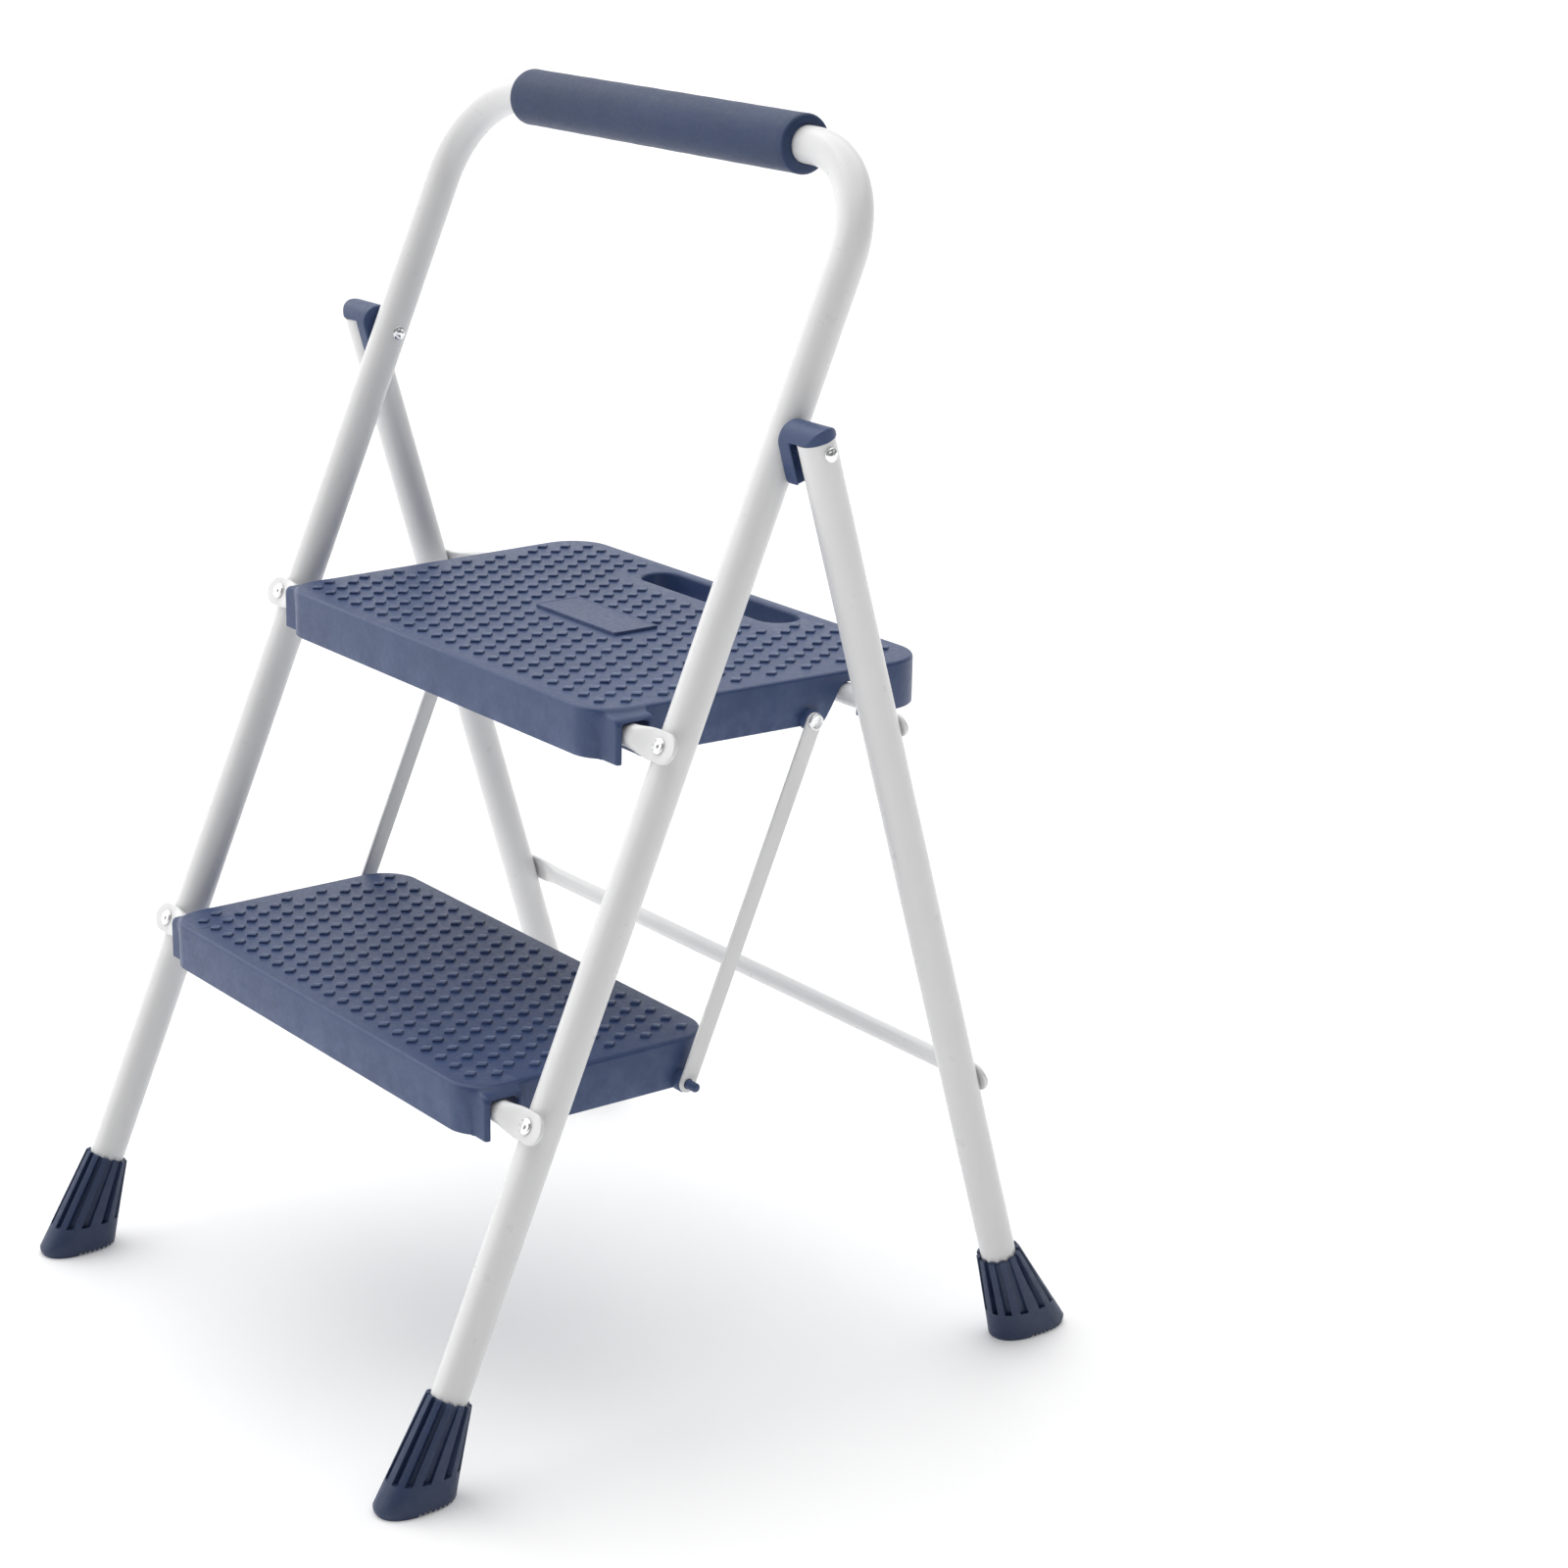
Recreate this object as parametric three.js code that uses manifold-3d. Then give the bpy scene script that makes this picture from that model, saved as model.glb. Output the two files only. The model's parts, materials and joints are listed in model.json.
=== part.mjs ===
// Folding two-step stool: bent-tube front frame with a foam grip, hinged rear frame and two moulded
// treads that fold up together on a parallel linkage.
// Millimetres, +Z up, +X to the climber's right, +Y to the rear. The origin is on the floor under the
// middle of the opened stool.
import * as THREE from 'three';
import { mergeVertices } from 'three/addons/utils/BufferGeometryUtils.js';
import Module from 'manifold-3d';

const wasm = await Module();
wasm.setup();

// ---- driving dimensions -------------------------------------------------------------------------
const DEGREE = Math.PI / 180;
const GAP = 0.3; // running clearance between neighbouring pieces

// Frame layout. "Along" values run up a leg from the hinge, "out" values stand off a leg's axis.
const FRONT_LEAN = 23.3 * DEGREE;
const REAR_LEAN = 16.65 * DEGREE;
const HINGE_Y = 36.4;
const HINGE_Z = 664.5;
const FRONT_HALF_SPACING = 238.5;
const REAR_HALF_SPACING = 275;
const GRIP_ALONG = 190;
const TOP_STEP_ALONG = -208.7;
const STEP_SPACING = 256.8;

// Tubes
const LEG_RADIUS = 12.5;
const LEG_BORE = 11;
const BEND_RADIUS = 70;
const STEP_TUBE_RADIUS = 8;
const UPPER_BAR = { radius: 7.5, eye: 8.5, out: 26, along: -202.8 };
const LOWER_BAR = { radius: 6.5, eye: 10.6, out: 14.4, along: -481.3 };
const BAR_WALL = 1.4;
const EYE = { radius: 10.6, thickness: 3.2, out: 14.4, taper: 26.4 };
const STEP_EYE_X = 241; // the step tubes' rivets sit a little outside the legs' centre lines
const EYE_OVERHANG = 5;

// Foam grip
const GRIP = { radius: 20, bore: 13.1, halfLength: 161.3, rounding: 3 };

// Feet
const FOOT = { rimRadius: 15.7, halfWidth: 17.4, squareness: 0.85, soleHeight: 5, floor: 15 };
const FRONT_FOOT = { lean: FRONT_LEAN, along: 74, halfLength: 29, shift: 2.6 };
const REAR_FOOT = { lean: -REAR_LEAN, along: 70.5, halfLength: 31.5, shift: 9.5 };
const SOCKET_RADIUS = 13;

// Hinge cap
const CAP = { radius: 13.4, crown: 4.1, lugDrop: 22.5, seat: 8.5, plug: 5 };

// Treads, measured from each tread's own pivot tube
const TREAD_TOP = 16;
const SKIRT_BOTTOM = -17.8;
const WALL = 3;
const TOP_TREAD = { front: -22, rear: 250.6, halfFront: 200, halfRear: 211.2, corners: [26, 34] };
const BOTTOM_TREAD = { front: -20.5, rear: 176.2, halfFront: 205.2, halfRear: 206.4, corners: [26, 30] };
const FRONT_NOTCH = { from: -9.3, to: 12, top: 10.8, border: 4, lipX: 212 };
// The upper rear bar lies in the notch. As the stool folds it leaves downwards and forwards, so the
// notch's front wall runs back from its foot.
const REAR_NOTCH = { y: 178.8, z: -0.9, radius: 8.6, footFront: 158.6, footRear: 188 };
const HAND_SLOT = { centre: 225, halfWidth: 16, halfLength: 85, collar: 3 };
const RIB = { thickness: 2.4, lowest: 7, across: [60, 115], along: [-150, -75, 0, 75, 150] };
const SADDLE = { thickness: 3.2, lowest: -13.8, rear: 20 }; // under the tread, over its pivot tube
const PLATE = { centre: 117, width: 99, depth: 37.4, thickness: 3.3, proud: 2.4 };

// Parallel linkage
const LINK_PIVOT = { y: 145.6, z: -13.4 };
const LINK = { width: 12.5, thickness: 2.5, inner: 212.8 };
const LINK_BOSS_RADIUS = 7;
const PIN = { radius: 3.2, end: 225.2, clearance: 0.5 };

// Fasteners
const RIVET = { shaft: 2.5, hole: 2.8, head: 5.7, headHeight: 2.8, tail: 4, tailHeight: 1.6 };
const SCREW = { shaft: 1.7, hole: 2, head: 3.8, headHeight: 2, turn: 80 * DEGREE, height: 31, out: 18.2 };

// Facets
const ROUND = 20;
const SMALL_ROUND = 12;

// ---- finishes -----------------------------------------------------------------------------------
const finish = (color, roughness, metalness) =>
  new THREE.MeshStandardMaterial({ color, roughness, metalness });
const WHITE_PAINT = finish(0xeceded, 0.35, 0.1);
const BLUE_PLASTIC = finish(0x4a5d82, 0.55, 0);
const BLUE_FOAM = finish(0x3f527a, 0.85, 0);
const BRIGHT_METAL = finish(0xd5d7da, 0.2, 1);

// ---- solids -------------------------------------------------------------------------------------
/** Turns a closed three.js geometry into a solid that can be joined and cut. */
function solid(geometry) {
  const bare = geometry.clone();
  bare.deleteAttribute('normal');
  bare.deleteAttribute('uv');
  const merged = mergeVertices(bare, 1e-4);
  const index = merged.index.array;
  const triVerts = [];
  for (let i = 0; i < index.length; i += 3) {
    const [a, b, c] = index.slice(i, i + 3);
    if (a !== b && b !== c && c !== a) triVerts.push(a, b, c);
  }
  const vertProperties = new Float32Array(merged.attributes.position.array);
  return new wasm.Manifold(
    new wasm.Mesh({ numProp: 3, vertProperties, triVerts: new Uint32Array(triVerts) }),
  );
}

/** Turns a solid back into a three.js geometry. */
function geometryOf(body) {
  const mesh = body.getMesh();
  const geometry = new THREE.BufferGeometry();
  geometry.setAttribute('position', new THREE.BufferAttribute(mesh.vertProperties, 3));
  geometry.setIndex(new THREE.BufferAttribute(mesh.triVerts, 1));
  geometry.computeVertexNormals();
  return geometry;
}

const join = (...bodies) => bodies.reduce((whole, body) => whole.add(body));
const cut = (body, ...tools) => tools.reduce((rest, tool) => rest.subtract(tool), body);

/** A round rod from one coordinate to another, parallel to the axis named. */
function rod(axis, radius, from, to, [a, b] = [0, 0], sides = ROUND) {
  const geometry = new THREE.CylinderGeometry(radius, radius, to - from, sides);
  const middle = (from + to) / 2;
  if (axis === 'x') geometry.rotateZ(-Math.PI / 2).translate(middle, a, b);
  if (axis === 'y') geometry.translate(a, middle, b);
  if (axis === 'z') geometry.rotateX(Math.PI / 2).translate(a, b, middle);
  return solid(geometry);
}

/** A box between two corners. */
function block([x0, y0, z0], [x1, y1, z1]) {
  const geometry = new THREE.BoxGeometry(x1 - x0, y1 - y0, z1 - z0);
  return solid(geometry.translate((x0 + x1) / 2, (y0 + y1) / 2, (z0 + z1) / 2));
}

/** A shape drawn in the XY plane, made solid from z0 to z1. */
function slab(shape, z0, z1, curveSegments = 5) {
  const geometry = new THREE.ExtrudeGeometry(shape, {
    depth: z1 - z0, bevelEnabled: false, curveSegments,
  });
  return solid(geometry.translate(0, 0, z0));
}

/** A shape drawn in the YZ plane, made solid from x0 to x1. */
function slice(shape, x0, x1, curveSegments = 8) {
  const geometry = new THREE.ExtrudeGeometry(shape, {
    depth: x1 - x0, bevelEnabled: false, curveSegments,
  });
  return solid(geometry.rotateY(Math.PI / 2).rotateX(Math.PI / 2).translate(x0, 0, 0));
}

/** A polygon through the points given. */
const polygon = (points) => new THREE.Shape(points.map(([a, b]) => new THREE.Vector2(a, b)));

/** An outline whose corners, given as [x, y, radius], are rounded. */
function roundedOutline(corners) {
  const shape = new THREE.Shape();
  const roundness = 0.4477; // of the corner's own weight in each control point of a near-circular curve
  corners.forEach(([x, y, radius], i) => {
    const here = new THREE.Vector2(x, y);
    const [before, after] = [corners.at(i - 1), corners[(i + 1) % corners.length]].map(
      ([nextX, nextY]) => here.clone().add(new THREE.Vector2(nextX - x, nextY - y).setLength(radius)),
    );
    const [control1, control2] = [before, after].map((end) => here.clone().lerp(end, roundness));
    if (i === 0) shape.moveTo(before.x, before.y);
    else shape.lineTo(before.x, before.y);
    shape.bezierCurveTo(control1.x, control1.y, control2.x, control2.y, after.x, after.y);
  });
  shape.closePath();
  return shape;
}

/**
 * A body lofted through rings. Each ring gets a point on the unit circle, or its centre, and places
 * it: ring(c, s) returns the point as [x, y, z].
 */
function loft(rings, sides) {
  const geometry = new THREE.CylinderGeometry(1, 1, 1, sides, rings.length - 1);
  const position = geometry.attributes.position;
  for (let i = 0; i < position.count; i += 1) {
    const ring = rings[Math.round((position.getY(i) + 0.5) * (rings.length - 1))];
    position.setXYZ(i, ...ring(position.getZ(i), position.getX(i)));
  }
  return solid(geometry);
}

/** A turned piece: its profile is [radius, height] pairs, with its axis along +Z. */
function turned(profile, sides = SMALL_ROUND) {
  const points = profile.map(([r, h]) => new THREE.Vector2(r, h));
  return solid(new THREE.LatheGeometry(points, sides).rotateX(Math.PI / 2));
}

// ---- tubes --------------------------------------------------------------------------------------
/** A path sampled only where it needs a section: each station has a point and a direction. */
class StationPath extends THREE.Curve {
  constructor(stations) {
    super();
    this.stations = stations;
  }
  at(u) {
    return this.stations[Math.round(u * (this.stations.length - 1))];
  }
  getPoint(u) {
    return this.at(u).point.clone();
  }
  getPointAt(u) {
    return this.getPoint(u);
  }
  getTangentAt(u) {
    return this.at(u).direction.clone();
  }
}

/** Stations of the inverted-U frame, in the plane of its legs, from one foot end to the other. */
function frameStations(bottom) {
  const stations = [];
  const add = (x, z, dx, dz) => stations.push({
    point: new THREE.Vector3(x, 0, z), direction: new THREE.Vector3(dx, 0, dz).normalize(),
  });
  const bendX = FRONT_HALF_SPACING - BEND_RADIUS;
  const bendZ = GRIP_ALONG - BEND_RADIUS;
  const bendSteps = 7;
  add(-FRONT_HALF_SPACING, bottom, 0, 1);
  for (const side of [-1, 1]) {
    for (let i = 0; i <= bendSteps; i += 1) {
      const angle = (side < 0 ? Math.PI : Math.PI / 2) - (i / bendSteps) * (Math.PI / 2);
      const [c, s] = [Math.cos(angle), Math.sin(angle)];
      add(side * bendX + BEND_RADIUS * c, bendZ + BEND_RADIUS * s, s, -c);
    }
  }
  add(FRONT_HALF_SPACING, bottom, 0, -1);
  return stations;
}

/** A round section swept along the inverted-U frame. */
function sweptFrame(radius, bottom) {
  const stations = frameStations(bottom);
  const section = new THREE.Shape().absarc(0, 0, radius, 0, 2 * Math.PI);
  return solid(new THREE.ExtrudeGeometry(section, {
    extrudePath: new StationPath(stations), steps: stations.length - 1, curveSegments: ROUND / 2,
  }));
}

/** Sections of a cross bar whose ends are pressed flat into eyes, from one end to the other. */
function barSections({ radius, endX, eyeRadius, halfThickness, shift, endAngles }) {
  const flatX = endX - EYE.radius;
  const half = [
    { x: flatX - EYE.taper, flat: 0, deep: radius, wide: radius, offset: 0 },
    { x: flatX - EYE.taper / 2, flat: 0.5, deep: (radius + halfThickness) / 2,
      wide: (radius + eyeRadius) / 2, offset: shift / 2 },
    { x: flatX, flat: 1, deep: halfThickness, wide: eyeRadius, offset: shift },
    ...endAngles.map((degrees) => ({
      x: endX + eyeRadius * Math.sin(degrees * DEGREE), flat: 1, deep: halfThickness,
      wide: eyeRadius * Math.cos(degrees * DEGREE), offset: shift,
    })),
  ];
  const mirrored = half.map((section) => ({ ...section, x: -section.x })).reverse();
  return [...mirrored, ...half];
}

/** A cross bar through its sections: round in the middle and flat at the eyes. */
function sweptBar(sections, sides) {
  const square = (v) => THREE.MathUtils.clamp(v * Math.SQRT2, -1, 1);
  const rings = sections.map(({ x, flat, deep, wide, offset }) => (c, s) => [
    x,
    offset + deep * THREE.MathUtils.lerp(c, square(c), flat),
    wide * THREE.MathUtils.lerp(s, square(s), flat),
  ]);
  return loft(rings, sides);
}

/** A tubular cross bar along X with riveting eyes at its ends, offset from it by shift along Y. */
function crossBar(radius, rivetX, endX, shift, eyeRadius = EYE.radius) {
  const outer = barSections({
    radius, endX, eyeRadius, halfThickness: EYE.thickness / 2, shift,
    endAngles: [0, 35, 60, 80],
  });
  const inner = barSections({
    radius: radius - BAR_WALL, endX, eyeRadius: eyeRadius / 3, halfThickness: 0.4, shift, endAngles: [0],
  });
  const holes = [-1, 1].map((side) =>
    rod('y', RIVET.hole, shift - 9, shift + 9, [side * rivetX, 0], SMALL_ROUND));
  return cut(sweptBar(outer, 16), sweptBar(inner, 8), ...holes);
}

// ---- pieces -------------------------------------------------------------------------------------
/** Where the floor cuts a leg's axis, as a distance down the leg from the hinge. */
const floorAlong = (lean) => -HINGE_Z / Math.cos(lean);
const tubeBottom = (lean) => floorAlong(lean) + FOOT.floor;
const riveted = (along, side, spacing, facing) =>
  rod('y', RIVET.hole, Math.min(0, facing * 20), Math.max(0, facing * 20), [side * spacing, along], SMALL_ROUND);

/** The inverted-U front frame, with the rivet holes of both step tubes and of the hinge. */
function frontFrameTube() {
  const bottom = tubeBottom(FRONT_LEAN);
  const holes = [];
  for (const side of [-1, 1]) {
    holes.push(riveted(TOP_STEP_ALONG, side, STEP_EYE_X, -1));
    holes.push(riveted(TOP_STEP_ALONG - STEP_SPACING, side, STEP_EYE_X, -1));
  }
  holes.push(rod('x', RIVET.hole + 0.2, -REAR_HALF_SPACING, REAR_HALF_SPACING, [0, 0], SMALL_ROUND));
  return cut(sweptFrame(LEG_RADIUS, bottom), sweptFrame(LEG_BORE, bottom - 1), ...holes);
}

/** The foam sleeve on the handle, with eased ends. */
function handleGrip() {
  const { radius, bore, halfLength, rounding } = GRIP;
  const end = halfLength - rounding;
  return turned([
    [bore, -halfLength], [radius - rounding, -halfLength], [radius, -end],
    [radius, end], [radius - rounding, halfLength], [bore, halfLength], [bore, -halfLength],
  ], ROUND).rotate([0, 90, 0]).translate([0, 0, GRIP_ALONG]);
}

/** A straight rear leg, open at both ends, with holes for the hinge, both bars and the foot screw. */
function rearLeg(side) {
  const bottom = tubeBottom(REAR_LEAN);
  const top = CAP.seat - GAP;
  return cut(
    rod('z', LEG_RADIUS, bottom, top),
    rod('z', LEG_BORE, bottom - 1, top + 1),
    rod('x', RIVET.hole, -20, 20, [0, 0], SMALL_ROUND),
    riveted(UPPER_BAR.along, 0, 0, 1),
    riveted(LOWER_BAR.along, 0, 0, 1),
    screwHole(side).rotate([-REAR_LEAN / DEGREE, 0, 0]).translate([0, 0, floorAlong(REAR_LEAN)]),
  );
}

/** The cap over a rear leg's end, with the lug that spaces it from the front leg. */
function hingeCap(side) {
  const { radius, crown, lugDrop, seat, plug } = CAP;
  const inner = FRONT_HALF_SPACING + LEG_RADIUS + GAP - REAR_HALF_SPACING;
  const lugOuter = -LEG_RADIUS - GAP;
  const corner = 5;
  const profile = new THREE.Shape();
  profile.absarc(0, crown, radius, 0, Math.PI);
  profile.lineTo(-radius, -lugDrop + corner);
  profile.quadraticCurveTo(-radius, -lugDrop, -radius + corner, -lugDrop);
  profile.lineTo(radius - corner, -lugDrop);
  profile.quadraticCurveTo(radius, -lugDrop, radius, -lugDrop + corner);
  profile.closePath();
  const roundEnd = join(
    rod('z', radius, seat, seat + radius),
    block([inner, -radius, seat], [0, radius, seat + radius]),
  );
  const body = join(
    slice(profile, inner, lugOuter, 6),
    slice(profile, inner, radius, 6).intersect(roundEnd),
    rod('z', LEG_BORE - GAP, seat - plug, seat + 1),
  );
  const cap = body.subtract(rod('x', RIVET.hole, inner - 1, lugOuter + 1, [0, 0], SMALL_ROUND));
  return side > 0 ? cap : cap.mirror([1, 0, 0]);
}

/** A boot foot: a round rim square to the leg that spreads to a long flat sole on the floor. */
function foot({ lean, along, halfLength, shift }) {
  const [s, c] = [Math.sin(lean), Math.cos(lean)];
  const { rimRadius, halfWidth, squareness, soleHeight, floor } = FOOT;
  const swell = (v) => Math.sign(v) * Math.abs(v) ** squareness;
  const sole = (z) => (u, v) => [swell(u) * halfWidth, shift + swell(v) * halfLength, z];
  const rim = (u, v) => [
    u * rimRadius, along * s + v * rimRadius * c, along * c - v * rimRadius * s,
  ];
  const socket = new THREE.CylinderGeometry(SOCKET_RADIUS, SOCKET_RADIUS, along, ROUND);
  socket.rotateX(Math.PI / 2).translate(0, 0, floor - GAP + along / 2).rotateX(-lean);
  return cut(loft([sole(0), sole(soleHeight), rim], 24), solid(socket));
}

/** The hole for the screw that holds a rear foot to its leg. */
function screwHole(side) {
  const hole = new THREE.CylinderGeometry(SCREW.hole, SCREW.hole, 40, SMALL_ROUND);
  hole.translate(0, -20 - LEG_BORE / 2, SCREW.height).rotateZ(-side * SCREW.turn).rotateX(REAR_LEAN);
  return solid(hole);
}

/** The plan of a tread, drawn in from its edge by an inset. */
function treadPlan({ front, rear, halfFront, halfRear, corners }, inset) {
  const [frontCorner, rearCorner] = corners.map((radius) => radius - inset);
  return roundedOutline([
    [-halfFront + inset, front + inset, frontCorner], [halfFront - inset, front + inset, frontCorner],
    [halfRear - inset, rear - inset, rearCorner], [-halfRear + inset, rear - inset, rearCorner],
  ]);
}

/** A long hole with round ends, lying along X. */
function slotShape(centre, halfWidth, halfLength) {
  const shape = new THREE.Shape();
  const straight = halfLength - halfWidth;
  shape.absarc(straight, centre, halfWidth, -Math.PI / 2, Math.PI / 2);
  shape.absarc(-straight, centre, halfWidth, Math.PI / 2, 1.5 * Math.PI);
  shape.closePath();
  return shape;
}

/** Half the width of a tread's skirt at a distance behind its pivot. */
function halfWidthAt({ front, rear, halfFront, halfRear }, y) {
  return THREE.MathUtils.mapLinear(y, front, rear, halfFront, halfRear);
}

/** A tread moulding: thin shell, open below, with low ribs, saddles for its pivot tube and link bosses. */
function treadShell(plan) {
  const outer = slab(treadPlan(plan, 0), SKIRT_BOTTOM, TREAD_TOP);
  const hollow = slab(treadPlan(plan, WALL), SKIRT_BOTTOM - 1, TREAD_TOP - WALL);
  const reach = plan.halfRear;
  const ceiling = TREAD_TOP - WALL / 2;
  const [halfRib, halfSaddle] = [RIB.thickness / 2, SADDLE.thickness / 2];
  const ribs = [
    ...RIB.across.map((y) => block([-reach, y - halfRib, RIB.lowest], [reach, y + halfRib, ceiling])),
    ...RIB.along.map((x) => block([x - halfRib, plan.front, RIB.lowest], [x + halfRib, plan.rear, ceiling])),
    ...RIB.along.map((x) =>
      block([x - halfSaddle, plan.front, SADDLE.lowest], [x + halfSaddle, SADDLE.rear, ceiling])),
  ];
  const inside = join(...ribs).intersect(outer);
  const pads = [-1, 1].flatMap((side) => [notchLip(plan, side), linkBoss(plan, side)]);
  const shell = join(outer.subtract(hollow), inside, ...pads);
  return cut(shell, pivotChannel(reach), ...[-1, 1].map((side) => frontNotch(plan, side)));
}

/** The channel under a tread that its pivot tube lies in, open below. */
function pivotChannel(reach) {
  const radius = STEP_TUBE_RADIUS + GAP + 0.2;
  return join(
    rod('x', radius, -reach, reach),
    block([-reach, -radius, SKIRT_BOTTOM - 8], [reach, radius, 0]),
  );
}

/** The opening in a side skirt where the pivot tube comes out. */
function frontNotch(plan, side) {
  const { from, to, top, lipX } = FRONT_NOTCH;
  const [near, far] = [side * (plan.halfFront - 2 * WALL), side * (lipX + 1)];
  return block([Math.min(near, far), from, SKIRT_BOTTOM - 1], [Math.max(near, far), to, top]);
}

/** The raised lip round that opening. */
function notchLip(plan, side) {
  const { from, to, top, border, lipX } = FRONT_NOTCH;
  const [near, far] = [side * (plan.halfFront - 2 * WALL), side * lipX];
  return block([Math.min(near, far), from - border, SKIRT_BOTTOM], [Math.max(near, far), to + border, top + border]);
}

/** The pad on a side skirt that the link bar turns against. */
function linkBoss(plan, side) {
  const [near, far] = [side * (halfWidthAt(plan, LINK_PIVOT.y) - WALL), side * (LINK.inner - GAP)];
  return rod('x', LINK_BOSS_RADIUS, Math.min(near, far), Math.max(near, far), [LINK_PIVOT.y, LINK_PIVOT.z]);
}

/** The upper tread, with its hand slot, rear notches, plate recess and link rivet holes. */
function topTread() {
  const { centre, halfWidth, halfLength, collar } = HAND_SLOT;
  const shell = treadShell(TOP_TREAD);
  const wall = slab(slotShape(centre, halfWidth + collar, halfLength + collar), SKIRT_BOTTOM + 3, TREAD_TOP);
  const slot = slab(slotShape(centre, halfWidth, halfLength), SKIRT_BOTTOM - 1, TREAD_TOP + 1);
  const seat = 0.5;
  const recess = block(
    [-PLATE.width / 2 - seat, PLATE.centre - PLATE.depth / 2 - seat, TREAD_TOP + PLATE.proud - PLATE.thickness - GAP],
    [PLATE.width / 2 + seat, PLATE.centre + PLATE.depth / 2 + seat, TREAD_TOP + 1],
  );
  const reach = LINK.inner + 1;
  const rivetHoles = rod('x', RIVET.hole, -reach, reach, [LINK_PIVOT.y, LINK_PIVOT.z], SMALL_ROUND);
  return cut(join(shell, wall), slot, rearNotch(), recess, rivetHoles);
}

/** The notch through both skirts of the upper tread, open below, that clears the upper rear bar. */
function rearNotch() {
  const { y, z, radius, footFront, footRear } = REAR_NOTCH;
  const shape = new THREE.Shape();
  shape.absarc(y, z, radius, 0, 155 * DEGREE);
  shape.quadraticCurveTo(y - 12, z - 6, footFront, SKIRT_BOTTOM - 0.5);
  shape.lineTo(footRear, SKIRT_BOTTOM - 0.5);
  shape.closePath();
  const reach = TOP_TREAD.halfRear + 1;
  return slice(shape, -reach, reach, 6);
}

/** The lower tread, with the moulded pins that carry the link bars. */
function bottomTread() {
  const pins = [-1, 1].map((side) => {
    const [near, far] = [side * (BOTTOM_TREAD.halfRear - WALL), side * PIN.end];
    return rod('x', PIN.radius, Math.min(near, far), Math.max(near, far), [LINK_PIVOT.y, LINK_PIVOT.z], SMALL_ROUND);
  });
  return join(treadShell(BOTTOM_TREAD), ...pins);
}

/** A blank raised plate let into the upper tread. */
function treadPlate() {
  const top = TREAD_TOP + PLATE.proud;
  return block(
    [-PLATE.width / 2, PLATE.centre - PLATE.depth / 2, top - PLATE.thickness],
    [PLATE.width / 2, PLATE.centre + PLATE.depth / 2, top],
  );
}

/** A flat link bar with round ends, drawn down from its upper pivot. */
function linkBar(side) {
  const half = LINK.width / 2;
  const shape = new THREE.Shape();
  shape.absarc(0, 0, half, 0, Math.PI);
  shape.absarc(0, -STEP_SPACING, half, Math.PI, 2 * Math.PI);
  shape.closePath();
  const x = side > 0 ? LINK.inner : -LINK.inner - LINK.thickness;
  return cut(
    slice(shape, x, x + LINK.thickness, 6),
    rod('x', RIVET.hole, x - 1, x + LINK.thickness + 1, [0, 0], SMALL_ROUND),
    rod('x', PIN.radius + PIN.clearance, x - 1, x + LINK.thickness + 1, [0, -STEP_SPACING], SMALL_ROUND),
  );
}

/** A domed rivet along +Z: its head's underside is at 0 and its tail is at -grip. */
function rivet(grip, tail = RIVET.tail) {
  const { shaft, head, headHeight, tailHeight } = RIVET;
  return turned([
    [0, -grip - tailHeight], [tail * 0.7, -grip - tailHeight], [tail, -grip - tailHeight / 2], [tail, -grip],
    [shaft, -grip], [shaft, 0], [head, 0], [head, headHeight * 0.35],
    [head * 0.7, headHeight * 0.85], [head * 0.3, headHeight], [0, headHeight],
  ]);
}

/** A pan-head screw along +Z, with its head's underside at 0. */
function footScrew() {
  const { shaft, head, headHeight } = SCREW;
  const length = 9;
  return turned([
    [0, -length], [shaft * 0.5, -length], [shaft, -length + 2], [shaft, 0], [head, 0],
    [head, headHeight * 0.5], [head * 0.6, headHeight], [0, headHeight],
  ]);
}

// ---- assembly -----------------------------------------------------------------------------------
const sides = { left: -1, right: 1 };

/** Adds one named piece to a group, and returns it to be placed. */
function add(group, name, body, material) {
  const mesh = new THREE.Mesh(geometryOf(body), material);
  mesh.name = name;
  group.add(mesh);
  return mesh;
}

/** A group hung at a point in the plane of symmetry and turned about X. */
function groupAt(y, z, turn) {
  const group = new THREE.Group();
  group.position.set(0, y, z);
  group.rotation.x = turn;
  return group;
}

/** A point at a stand-off and a distance along a leg, carried into the stool's frame. */
function onLeg(turn, out, along) {
  return {
    y: HINGE_Y + out * Math.cos(turn) - along * Math.sin(turn),
    z: HINGE_Z + out * Math.sin(turn) + along * Math.cos(turn),
  };
}

/** Turns a +Z fastener so that its head faces the direction named. */
const FACING = {
  front: (mesh) => mesh.rotateX(Math.PI / 2),
  rear: (mesh) => mesh.rotateX(-Math.PI / 2),
  left: (mesh) => mesh.rotateY(-Math.PI / 2),
  right: (mesh) => mesh.rotateY(Math.PI / 2),
};

const wallGrip = EYE.thickness + LEG_RADIUS - LEG_BORE + 4 * GAP + 2;
const headOut = EYE.out + EYE.thickness / 2 + GAP;

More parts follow.
